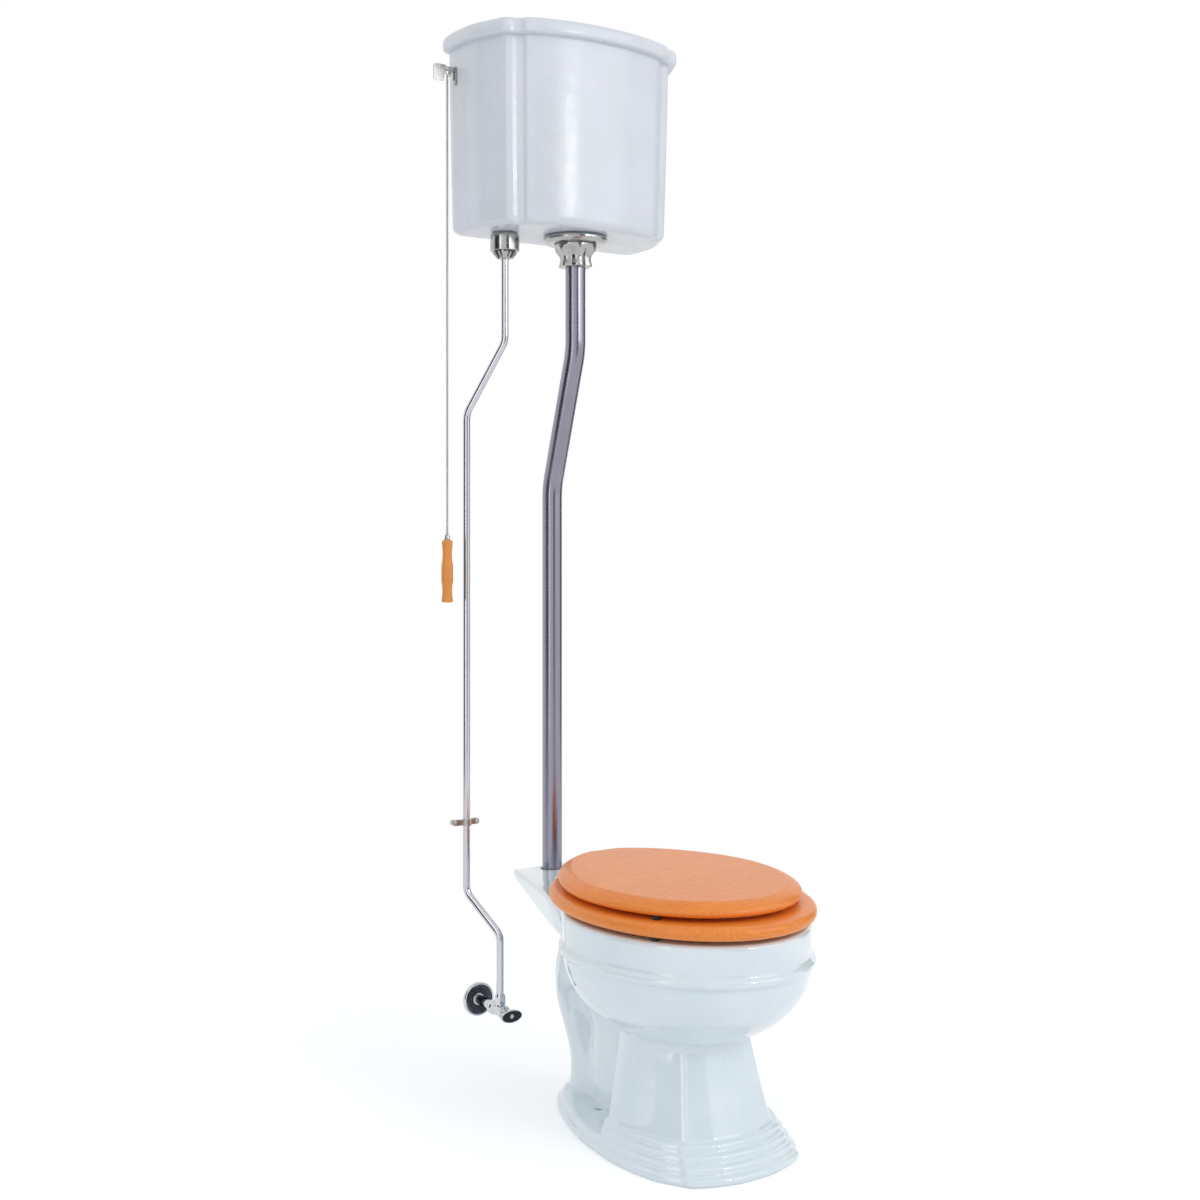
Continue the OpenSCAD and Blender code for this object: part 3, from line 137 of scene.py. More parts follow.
@dataclass(frozen=True)
class Finish:
    """What a surface is made of and how it was finished."""

    name: str
    slot: Slot
    colour: str
    roughness: float

    def dress(self, tree: bpy.types.NodeTree, shader: bpy.types.Node) -> None:
        """Adds the nodes of this finish to a material's tree."""
        raise NotImplementedError

    def material(self) -> bpy.types.Material:
        """Gives the material, made the first time that it is asked for."""
        made = bpy.data.materials.get(self.name)
        if made is None:
            made = bpy.data.materials.new(self.name)
            made.use_nodes = True
            shader = made.node_tree.nodes["Principled BSDF"]
            shader.inputs["Base Color"].default_value = linear(self.colour)
            shader.inputs["Roughness"].default_value = self.roughness
            self.dress(made.node_tree, shader)
        return made

    def pattern(
        self, tree: bpy.types.NodeTree, size_mm: Sequence[float], detail: float
    ) -> bpy.types.NodeSocket:
        """Adds a noise on Object coordinates whose features have a real size.

        Args:
            tree: The material's tree.
            size_mm: Feature size along X, Y and Z in millimetres.
            detail: Octaves of finer noise.

        Returns:
            The noise's value, from 0 to 1.
        """
        where = add_node(tree, "ShaderNodeTexCoord").outputs["Object"]
        scale = Vector([1 / (s * MM) for s in size_mm])
        laid = add_node(tree, "ShaderNodeMapping", values={"Scale": scale}, links={"Vector": where})
        return add_node(
            tree,
            "ShaderNodeTexNoise",
            values={"Scale": 1.0, "Detail": detail},
            links={"Vector": laid.outputs[0]},
        ).outputs[0]

    def spread(
        self, tree: bpy.types.NodeTree, source: bpy.types.NodeSocket, low: float, high: float
    ) -> bpy.types.NodeSocket:
        """Stretches the middle of a noise to the range from low to high.

        Args:
            tree: The material's tree.
            source: A value from 0 to 1 that is mostly near the middle.
            low: What the dark parts become.
            high: What the bright parts become.

        Returns:
            The stretched value.
        """
        return add_node(
            tree,
            "ShaderNodeMapRange",
            values={"From Min": 0.3, "From Max": 0.7, "To Min": low, "To Max": high},
            links={"Value": source},
        ).outputs[0]

    def blend(
        self,
        tree: bpy.types.NodeTree,
        share: bpy.types.NodeSocket,
        first: bpy.types.NodeSocket | str,
        second: str,
    ) -> bpy.types.NodeSocket:
        """Mixes a second colour over the first.

        Args:
            tree: The material's tree.
            share: How much of the second colour shows.
            first: A hex colour or the socket that carries one.
            second: A hex colour.

        Returns:
            The mixed colour.
        """
        plain = isinstance(first, str)
        return add_node(
            tree,
            "ShaderNodeMix",
            settings={"data_type": "RGBA"},
            values={7: linear(second), **({6: linear(first)} if plain else {})},
            links={0: share, **({} if plain else {6: first})},
        ).outputs[2]

    def raise_by(
        self,
        tree: bpy.types.NodeTree,
        shader: bpy.types.Node,
        height: bpy.types.NodeSocket,
        depth_mm: float,
    ) -> None:
        """Bumps the surface by a height pattern of a real depth."""
        bump = add_node(
            tree,
            "ShaderNodeBump",
            values={"Distance": depth_mm * MM, "Strength": 1.0},
            links={"Height": height},
        )
        tree.links.new(bump.outputs[0], shader.inputs["Normal"])


@dataclass(frozen=True)
class Glaze(Finish):
    """Vitreous china under a fired clear glaze: even white, wet gloss, faintly wavy."""

    pooled: str = "#DCE8EE"
    cloud_mm: float = 90.0
    wave_mm: float = 34.0
    wave_depth_mm: float = 0.10
    coat: float = 0.35

    def dress(self, tree: bpy.types.NodeTree, shader: bpy.types.Node) -> None:
        """Adds glaze clouds, gloss changes and the slow waves of a dipped glaze."""
        cloud = self.spread(tree, self.pattern(tree, (self.cloud_mm,) * 3, 3.0), 0.0, 1.0)
        tree.links.new(self.blend(tree, cloud, self.colour, self.pooled), shader.inputs["Base Color"])
        gloss = self.pattern(tree, (22.0, 22.0, 22.0), 4.0)
        tree.links.new(
            self.spread(tree, gloss, self.roughness * 0.75, self.roughness * 1.3),
            shader.inputs["Roughness"],
        )
        shader.inputs["IOR"].default_value = 1.52
        shader.inputs["Coat Weight"].default_value = self.coat
        shader.inputs["Coat Roughness"].default_value = 0.03
        self.raise_by(tree, shader, self.pattern(tree, (self.wave_mm,) * 3, 1.0), self.wave_depth_mm)


@dataclass(frozen=True)
class Metal(Finish):
    """Metal with marks drawn out along one direction."""

    tarnish: str = "#8E9092"
    mark_mm: tuple[float, float, float] = (3.0, 3.0, 3.0)
    mark_depth_mm: float = 0.002
    cloud_mm: float = 18.0
    dull: float = 0.45
    uneven: float = 0.3

    def dress(self, tree: bpy.types.NodeTree, shader: bpy.types.Node) -> None:
        """Adds faint tarnish, uneven polish and the marks of the polishing wheel."""
        shader.inputs["Metallic"].default_value = 1.0
        cloud = self.spread(tree, self.pattern(tree, (self.cloud_mm,) * 3, 4.0), 0.0, self.dull)
        tree.links.new(self.blend(tree, cloud, self.colour, self.tarnish), shader.inputs["Base Color"])
        marks = self.pattern(tree, self.mark_mm, 3.0)
        smoothest, roughest = self.roughness * (1 - self.uneven), self.roughness * (1 + self.uneven)
        tree.links.new(self.spread(tree, marks, smoothest, roughest), shader.inputs["Roughness"])
        self.raise_by(tree, shader, marks, self.mark_depth_mm)


@dataclass(frozen=True)
class Oak(Finish):
    """Oiled oak: honey boards, darker growth rings, short open pores."""

    ring: str = "#D9782C"
    pore: str = "#9A4E1C"
    grain: Grain = Grain.ACROSS
    board_mm: float = 70.0
    ring_mm: float = 7.0
    coat: float = 0.25

    def dress(self, tree: bpy.types.NodeTree, shader: bpy.types.Node) -> None:
        """Adds growth rings that wander, pores along the grain and board to board change."""
        where = add_node(tree, "ShaderNodeTexCoord").outputs["Object"]
        turned = add_node(
            tree, "ShaderNodeMapping", values={"Rotation": self.grain.value}, links={"Vector": where}
        ).outputs[0]
        drawn = add_node(
            tree,
            "ShaderNodeMapping",
            values={"Scale": (1 / (240 * MM), 1 / (26 * MM), 1 / (26 * MM))},
            links={"Vector": turned},
        ).outputs[0]
        figure = add_node(
            tree,
            "ShaderNodeTexNoise",
            values={"Scale": 1.0, "Detail": 3.0, "Distortion": 0.6},
            links={"Vector": drawn},
        ).outputs[0]
        split = add_node(tree, "ShaderNodeSeparateXYZ", links={0: turned})
        shifted = add_node(
            tree,
            "ShaderNodeMath",
            settings={"operation": "MULTIPLY_ADD"},
            values={1: 1 / (self.ring_mm * MM), 2: 0.0},
            links={0: split.outputs[1]},
        )
        wander = add_node(
            tree,
            "ShaderNodeMath",
            settings={"operation": "MULTIPLY_ADD"},
            values={1: 9.0},
            links={0: figure, 2: shifted.outputs[0]},
        )
        rings = add_node(
            tree, "ShaderNodeMath", settings={"operation": "FRACT"}, links={0: wander.outputs[0]}
        )
        late = add_node(
            tree,
            "ShaderNodeMath",
            settings={"operation": "POWER"},
            values={1: 2.2},
            links={0: rings.outputs[0]},
        ).outputs[0]
        fine = add_node(
            tree,
            "ShaderNodeMapping",
            values={"Scale": (1 / (16 * MM), 1 / (1.1 * MM), 1 / (1.1 * MM))},
            links={"Vector": turned},
        ).outputs[0]
        pores = add_node(
            tree, "ShaderNodeTexNoise", values={"Scale": 1.0, "Detail": 2.0}, links={"Vector": fine}
        ).outputs[0]
        open_pores = add_node(
            tree,
            "ShaderNodeMapRange",
            values={"From Min": 0.58, "From Max": 0.74, "To Min": 0.0, "To Max": 0.3},
            links={"Value": pores},
        ).outputs[0]
        soft = add_node(
            tree,
            "ShaderNodeMath",
            settings={"operation": "MULTIPLY"},
            values={1: 0.42},
            links={0: late},
        ).outputs[0]
        ringed = self.blend(tree, soft, self.colour, self.ring)
        board = add_node(
            tree,
            "ShaderNodeMath",
            settings={"operation": "SNAP"},
            values={1: self.board_mm * MM},
            links={0: split.outputs[1]},
        )
        board_tone = add_node(
            tree,
            "ShaderNodeTexWhiteNoise",
            settings={"noise_dimensions": "1D"},
            links={"W": board.outputs[0]},
        ).outputs[0]
        board_share = add_node(
            tree,
            "ShaderNodeMath",
            settings={"operation": "MULTIPLY"},
            values={1: 0.12},
            links={0: board_tone},
        ).outputs[0]
        boards = self.blend(tree, board_share, ringed, self.ring)
        tree.links.new(self.blend(tree, open_pores, boards, self.pore), shader.inputs["Base Color"])
        tree.links.new(
            self.spread(tree, pores, self.roughness, self.roughness * 1.5), shader.inputs["Roughness"]
        )
        shader.inputs["IOR"].default_value = 1.5
        shader.inputs["Coat Weight"].default_value = self.coat
        shader.inputs["Coat Roughness"].default_value = 0.2
        self.raise_by(tree, shader, pores, 0.008)


@dataclass(frozen=True)
class Moulded(Finish):
    """Moulded rubber or plastic: even colour with a fine sparked texture."""

    worn: str = "#2A2A2B"
    grit_mm: float = 1.4
    grit_depth_mm: float = 0.03
    clear: float = 0.0

    def dress(self, tree: bpy.types.NodeTree, shader: bpy.types.Node) -> None:
        """Adds the mould's grit and a slightly paler bloom."""
        bloom = self.spread(tree, self.pattern(tree, (9.0,) * 3, 3.0), 0.0, 0.6)
        tree.links.new(self.blend(tree, bloom, self.colour, self.worn), shader.inputs["Base Color"])
        grit = self.pattern(tree, (self.grit_mm,) * 3, 2.0)
        tree.links.new(
            self.spread(tree, grit, self.roughness * 0.85, self.roughness * 1.15),
            shader.inputs["Roughness"],
        )
        shader.inputs["Transmission Weight"].default_value = self.clear
        self.raise_by(tree, shader, grit, self.grit_depth_mm)


BOWL_CHINA = Glaze("glazed_vitreous_china_bowl", Slot.CHINA, "#E6F0F5", 0.06, coat=0.5)
TANK_CHINA = Glaze("glazed_vitreous_china_tank", Slot.CHINA, "#DCDFE8", 0.22, pooled="#D6DBE1", coat=0.06)
SEAT_OAK = Oak("oiled_oak_seat", Slot.OAK, "#F38C2B", 0.42, ring="#CE6A1B", grain=Grain.ACROSS, coat=0.4)
HANDLE_OAK = Oak(
    "oiled_oak_turned", Slot.OAK, "#E6933F", 0.36, ring="#C97A2E", grain=Grain.UPRIGHT, ring_mm=3.0
)
CHROME = Metal("polished_chrome_plate", Slot.CHROME, "#D4D6DA", 0.07, tarnish="#B4B6BB")
# Painted dark reflection: chrome given a dark grey colour so that the escutcheon's dish shows the dark
# surroundings that it would reflect.
PAINTED_REFLECTION_CHROME = Metal("chrome_dish_painted_dark_reflection", Slot.CHROME, "#4E4F54", 0.12, tarnish="#2E2F33")
DRAWN_CHROME = Metal(
    "chrome_plated_drawn_tube",
    Slot.CHROME,
    "#CFCFD6",
    0.14,
    tarnish="#B4B2BA",
    mark_mm=(2.5, 2.5, 80),
    mark_depth_mm=0.0004,
    cloud_mm=60,
    dull=0.25,
    uneven=0.12,
)
NICKEL = Metal("satin_nickel_plate", Slot.NICKEL, "#B9BAB8", 0.2, tarnish="#8F908E")
SATIN_PIPE = Metal(
    "satin_nickel_drawn_pipe",
    Slot.PIPE,
    "#9896A6",
    0.25,
    tarnish="#87848F",
    mark_mm=(4, 4, 120),
    mark_depth_mm=0.0004,
    cloud_mm=90,
    dull=0.3,
    uneven=0.1,
)
BRASS = Metal("cast_brass", Slot.BRASS, "#B8934F", 0.34, tarnish="#86683A", mark_depth_mm=0.01)
COPPER = Metal("spun_copper", Slot.COPPER, "#B4683F", 0.28, tarnish="#7E452C")
RUBBER = Moulded("moulded_black_rubber", Slot.RUBBER, "#141414", 0.62)
PLASTIC = Moulded("gloss_black_plastic", Slot.PLASTIC, "#0F0F10", 0.2, worn="#19191B", grit_depth_mm=0.006)
CLEAR = Moulded("clear_vinyl_tube", Slot.CLEAR, "#DDE3E4", 0.25, worn="#CBD3D5", clear=0.7)


# ---------- shapes ----------


@dataclass
class Shape:
    """Points and faces of a mesh, in millimetres."""

    points: np.ndarray
    faces: list[tuple[int, ...]]

    def __add__(self, other: "Shape") -> "Shape":
        """Puts two shapes in one mesh."""
        start = len(self.points)
        return Shape(
            np.vstack([self.points, other.points]),
            self.faces + [tuple(i + start for i in face) for face in other.faces],
        )

    def moved(self, x: float = 0.0, y: float = 0.0, z: float = 0.0) -> "Shape":
        """Gives the shape shifted."""
        return Shape(self.points + np.array((x, y, z)), self.faces)

    def turned(self, degrees: float, axis: str) -> "Shape":
        """Gives the shape turned about an axis through the origin."""
        turn = np.array(Matrix.Rotation(math.radians(degrees), 3, axis))
        return Shape(self.points @ turn.T, self.faces)

    def mesh(self, name: str) -> bpy.types.Mesh:
        """Gives a clean mesh in metres, closed, with its faces outward."""
        mesh = bpy.data.meshes.new(name)
        mesh.from_pydata((self.points * MM).tolist(), [], self.faces)
        work = bmesh.new()
        work.from_mesh(mesh)
        bmesh.ops.remove_doubles(work, verts=work.verts, dist=TINY)
        wide = [f for f in work.faces if len(f.verts) > 4]
        bmesh.ops.triangulate(work, faces=wide, ngon_method="EAR_CLIP")
        bmesh.ops.recalc_face_normals(work, faces=work.faces)
        work.to_mesh(mesh)
        work.free()
        return mesh


def rounded(corners: Sequence[Corner], steps: int = 5, closed: bool = True) -> np.ndarray:
    """Draws an outline with its corners rounded.

    Args:
        corners: Each corner as across, along and its radius.
        steps: Points round each corner.
        closed: Whether the last corner joins the first.

    Returns:
        The outline's points.
    """
    spots = np.array([c[:2] for c in corners], float)
    made = []
    for i, (_, _, radius) in enumerate(corners):
        here = spots[i]
        if radius == 0 or (not closed and i in (0, len(corners) - 1)):
            made.append(here)
            continue
        back, ahead = spots[i - 1] - here, spots[(i + 1) % len(corners)] - here
        long_back, long_ahead = np.linalg.norm(back), np.linalg.norm(ahead)
        back, ahead = back / long_back, ahead / long_ahead
        half = math.acos(max(-1.0, min(1.0, float(back @ ahead)))) / 2
        reach = min(radius / math.tan(half), 0.49 * long_back, 0.49 * long_ahead)
        for t in np.linspace(0, 1, steps + 1):
            made.append(
                (1 - t) ** 2 * (here + back * reach)
                + 2 * t * (1 - t) * here
                + t**2 * (here + ahead * reach)
            )
    return np.array(made)


def flowing(points: Sequence[Sequence[float]], per: int) -> np.ndarray:
    """Draws a smooth open curve through points.

    Args:
        points: The points that the curve passes.
        per: Steps from each point to the next.

    Returns:
        The curve's points.
    """
    spots = np.array(points, float)
    count = len(spots)
    made = []
    for i in range(count - 1):
        near = [min(max(i + k, 0), count - 1) for k in (-1, 0, 1, 2)]
        a, b, c, d = spots[near]
        for t in np.arange(per) / per:
            made.append(
                0.5
                * (
                    2 * b
                    + (c - a) * t
                    + (2 * a - 5 * b + 4 * c - d) * t**2
                    + (3 * b - a - 3 * c + d) * t**3
                )
            )
    made.append(spots[-1])
    return np.array(made)


def oval(
    half_w: float,
    front: float,
    back: float,
    y: float,
    squareness: float = 2.0,
    y_max: float = 1000.0,
    count: int = 200,
) -> np.ndarray:
    """Draws an oval with its own front and back lengths.

    Args:
        half_w: Half its width.
        front: Its length from the widest line to the front.
        back: Its length from the widest line to the back.
        y: Where the widest line is.
        squareness: Exponent of the back half, 2 for a true oval.
        y_max: Where a straight back edge cuts it.
        count: Points round it.

    Returns:
        The outline's points, the front one first.
    """
    angle = np.radians(np.arange(count) * 360 / count - 90)
    power = np.where(np.sin(angle) > 0, 2 / squareness, 1.0)
    across = np.sign(np.cos(angle)) * np.abs(np.cos(angle)) ** power
    along = np.sign(np.sin(angle)) * np.abs(np.sin(angle)) ** power
    length = np.where(np.sin(angle) > 0, back, front)
    return np.column_stack([half_w * across, np.minimum(y + length * along, y_max)])


def lift(outline: np.ndarray, z: float) -> np.ndarray:
    """Gives a flat outline at a height."""
    return np.column_stack([outline, np.full(len(outline), z)])


def mirrored(half: np.ndarray) -> np.ndarray:
    """Gives both halves of an outline that is drawn for x from 0 up, front to back."""
    other = half[::-1][half[::-1][:, 0] > 0.01] * np.array((-1, 1))
    return np.vstack([half, other])


def loft(rings: Sequence[np.ndarray], closed: bool = False) -> Shape:
    """Skins rings of equal length.

    Args:
        rings: The rings, from the lowest to the highest.
        closed: Whether the last ring joins the first, instead of a cap on each.

    Returns:
        The skin.
    """
    stack = np.array(rings)
    rows, count = stack.shape[:2]
    faces = []
    for i in range(rows if closed else rows - 1):
        low, high = i * count, (i + 1) % rows * count
        for j in range(count):
            k = (j + 1) % count
            faces.append((low + j, low + k, high + k, high + j))
    if not closed:
        faces.append(tuple(range(count - 1, -1, -1)))
        faces.append(tuple((rows - 1) * count + j for j in range(count)))
    return Shape(stack.reshape(-1, 3), faces)


def lathe(profile: np.ndarray, count: int = 96, hollow: bool = False) -> Shape:
    """Turns a profile about the Z axis.

    Args:
        profile: Radius and height of each point, from the bottom up.
        count: Facets round the axis.
        hollow: Whether the profile is a closed loop clear of the axis.

    Returns:
        The turned shape.
    """
    angle = np.radians(np.arange(count) * 360 / count)
    rings = [
        np.column_stack([r * np.cos(angle), r * np.sin(angle), np.full(count, z)]) for r, z in profile
    ]
    return loft(rings, closed=hollow)


def swept(path: np.ndarray, radius: float, count: int = 32) -> Shape:
    """Draws a round bar along a path.

    Args:
        path: The points of its axis.
        radius: Its radius.
        count: Facets round it.

    Returns:
        The bar.
    """
    ahead = np.gradient(path, axis=0)
    ahead /= np.linalg.norm(ahead, axis=1)[:, None]
    side = np.cross(ahead[0], (0.0, 1.0, 0.3))
    side /= np.linalg.norm(side)
    angle = np.radians(np.arange(count) * 360 / count)[:, None]
    rings = []
    for spot, way in zip(path, ahead):
        side = side - way * (side @ way)
        side /= np.linalg.norm(side)
        other = np.cross(way, side)
        rings.append(spot + radius * (np.cos(angle) * side + np.sin(angle) * other))
    return loft(rings)


def flat(half_w: float, half_h: float) -> Shape:
    """Draws a flat rectangle round the origin."""
    corners = ((-half_w, -half_h, 0), (half_w, -half_h, 0), (half_w, half_h, 0), (-half_w, half_h, 0))
    return Shape(np.array(corners), [(0, 1, 2, 3)])


def block(low: Sequence[float], high: Sequence[float], radius: float) -> Shape:
    """Draws a box whose upright edges are rounded and whose flat edges are eased.

    Args:
        low: Its lowest corner.
        high: Its highest corner.
        radius: Radius of its edges.

    Returns:
        The box.
    """
    (x0, y0, z0), (x1, y1, z1) = low, high
    rings = []
    for inset, z in ((radius, z0), (0.3 * radius, z0 + 0.3 * radius), (0, z0 + radius)):
        rings.append(lift(_box_outline(x0, y0, x1, y1, inset, radius), z))
    for inset, z in ((0, z1 - radius), (0.3 * radius, z1 - 0.3 * radius), (radius, z1)):
        rings.append(lift(_box_outline(x0, y0, x1, y1, inset, radius), z))
    return loft(rings)


def _box_outline(x0: float, y0: float, x1: float, y1: float, inset: float, radius: float) -> np.ndarray:
    """Draws a rectangle drawn in by an amount, with rounded corners."""
    corners = [
        (x0 + inset, y0 + inset, radius),
        (x1 - inset, y0 + inset, radius),
        (x1 - inset, y1 - inset, radius),
        (x0 + inset, y1 - inset, radius),
    ]
    return rounded(corners, 4)


class Cast:
    """A casting as signed distances on a regular grid, so that forms flow into each other."""

    BAND = 6

    def __init__(self, low: Sequence[float], high: Sequence[float], pitch: float) -> None:
        """Makes an empty grid over a box, in millimetres."""
        self.pitch = pitch
        self.start = tuple(int(math.floor(v / pitch)) - 2 for v in low)
        size = [int(math.ceil(v / pitch)) + 3 - s for v, s in zip(high, self.start)]
        self.field = np.full(size, self.BAND * pitch, np.float32)

    def distances(self, shape: Shape) -> np.ndarray:
        """Gives a closed shape's signed distances on the grid."""
        mesh = shape.mesh("casting_form")
        mesh.calc_loop_triangles()
        points = np.array([v.co for v in mesh.vertices], np.float32) / MM
        triangles = np.array([t.vertices for t in mesh.loop_triangles], np.uint32)
        bpy.data.meshes.remove(mesh)
        level = openvdb.FloatGrid.createLevelSetFromPolygons(
            points,
            triangles=triangles,
            transform=openvdb.createLinearTransform(voxelSize=self.pitch),
            halfWidth=self.BAND,
        )
        made = np.empty_like(self.field)
        level.copyToArray(made, ijk=self.start)
        return made

    def join(self, shape: Shape, fillet: float) -> None:
        """Adds a shape, with a fillet where it meets what is there."""
        other = self.distances(shape)
        near = np.maximum(fillet - np.abs(self.field - other), 0) / fillet
        self.field = np.minimum(self.field, other) - near**2 * fillet / 4

    def cut(self, shape: Shape, fillet: float) -> None:
        """Takes a shape away, with the new edge rounded."""
        other = -self.distances(shape)
        near = np.maximum(fillet - np.abs(self.field - other), 0) / fillet
        self.field = np.maximum(self.field, other) + near**2 * fillet / 4

    def shape(self) -> Shape:
        """Gives the casting's surface."""
        level = openvdb.FloatGrid(self.BAND * self.pitch)
        level.transform = openvdb.createLinearTransform(voxelSize=self.pitch)
        level.copyFromArray(self.field, ijk=self.start)
        points, quads = level.convertToQuads()
        return Shape(np.array(points, float), [tuple(q[::-1]) for q in quads.tolist()])


# ---------- pieces ----------


def piece(
    name: str,
    shape: Shape,
    finish: Finish,
    body: Body,
    nodes: Sequence[str] = (),
    sharp: float = SMOOTH_ANGLE,
    thin: float = 1.0,
    cuts: Sequence[Shape] = (),
) -> bpy.types.Object:
    """Makes a finished piece from a shape.

    Args:
        name: The piece's name.
        shape: Its shape.
        finish: What it is made of.
        body: The body that it rides on.
        nodes: The CAD nodes that it stands for.
        sharp: Edges sharper than this stay sharp in the shading.
        thin: Share of its triangles that is kept.
        cuts: Shapes taken out of it.

    Returns:
        The piece.
    """
    mesh = shape.mesh(name)
    made = bpy.data.objects.new(name, mesh)
    bpy.context.scene.collection.objects.link(made)
    tools = []
    for i, tool in enumerate(cuts):
        cutter = bpy.data.objects.new(f"{name}_cut_{i}", tool.mesh(f"{name}_cut_{i}"))
        bpy.context.scene.collection.objects.link(cutter)
        tools.append(cutter)
        step = made.modifiers.new(f"cut_{i}", "BOOLEAN")
        step.operation, step.solver, step.object = "DIFFERENCE", "EXACT", cutter
    if thin < 1:
        step = made.modifiers.new("thin", "DECIMATE")
        step.ratio = thin
    if made.modifiers:
        settled = made.evaluated_get(bpy.context.evaluated_depsgraph_get())
        made.data = bpy.data.meshes.new_from_object(settled)
        made.modifiers.clear()
        for cutter in tools:
            bpy.data.objects.remove(cutter)
    made.data.name = name
    made.data.shade_smooth()
    made.data.set_sharp_from_angle(angle=sharp)
    made.data.materials.clear()
    made.data.materials.append(finish.material())
    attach(made, body.value)
    if nodes:
        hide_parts(*nodes)
    LOG.info("%s: %d faces of %s", name, len(made.data.polygons), finish.name)
    return made


def repeated(
    name: str, build: Callable[[bpy.types.NodeTree], bpy.types.NodeSocket], sizes: dict, finish: Finish
) -> bpy.types.Mesh:
    """Runs a Geometry Nodes tree once and keeps what it makes as a plain mesh.

    Args:
        name: Name of the tree and the mesh.
        build: Adds the tree's nodes and returns the geometry that they make.
        sizes: Named inputs of the tree with their values, whole numbers for counts.
        finish: What the pieces are made of.

    Returns:
        The mesh.
    """
    tree = bpy.data.node_groups.new(name, "GeometryNodeTree")
    tree.interface.new_socket("Geometry", in_out="INPUT", socket_type="NodeSocketGeometry")
    tree.interface.new_socket("Geometry", in_out="OUTPUT", socket_type="NodeSocketGeometry")
    keys = {}
    for key, value in sizes.items():
        kind = "NodeSocketInt" if isinstance(value, int) else "NodeSocketFloat"
        keys[key] = tree.interface.new_socket(key, in_out="INPUT", socket_type=kind).identifier
    made = build(tree)
    real = add_node(tree, "GeometryNodeRealizeInstances", links={0: made})
    smooth = add_node(tree, "GeometryNodeSetShadeSmooth", links={0: real.outputs[0]})
    dressed = add_node(
        tree,
        "GeometryNodeSetMaterial",
        values={"Material": finish.material()},
        links={0: smooth.outputs[0]},
    )
    add_node(tree, "NodeGroupOutput", links={0: dressed.outputs[0]})
    holder = bpy.data.objects.new(name, bpy.data.meshes.new(name))
    bpy.context.scene.collection.objects.link(holder)
    step = holder.modifiers.new(name, "NODES")
    step.node_group = tree
    for key, value in sizes.items():
        step[keys[key]] = value
    settled = holder.evaluated_get(bpy.context.evaluated_depsgraph_get())
    mesh = bpy.data.meshes.new_from_object(settled)
    bpy.data.objects.remove(holder)
    return mesh


def shape_of(mesh: bpy.types.Mesh) -> Shape:
    """Gives a mesh's points and faces, in millimetres."""
    points = np.array([v.co for v in mesh.vertices]) / MM
    return Shape(points, [tuple(f.vertices) for f in mesh.polygons])


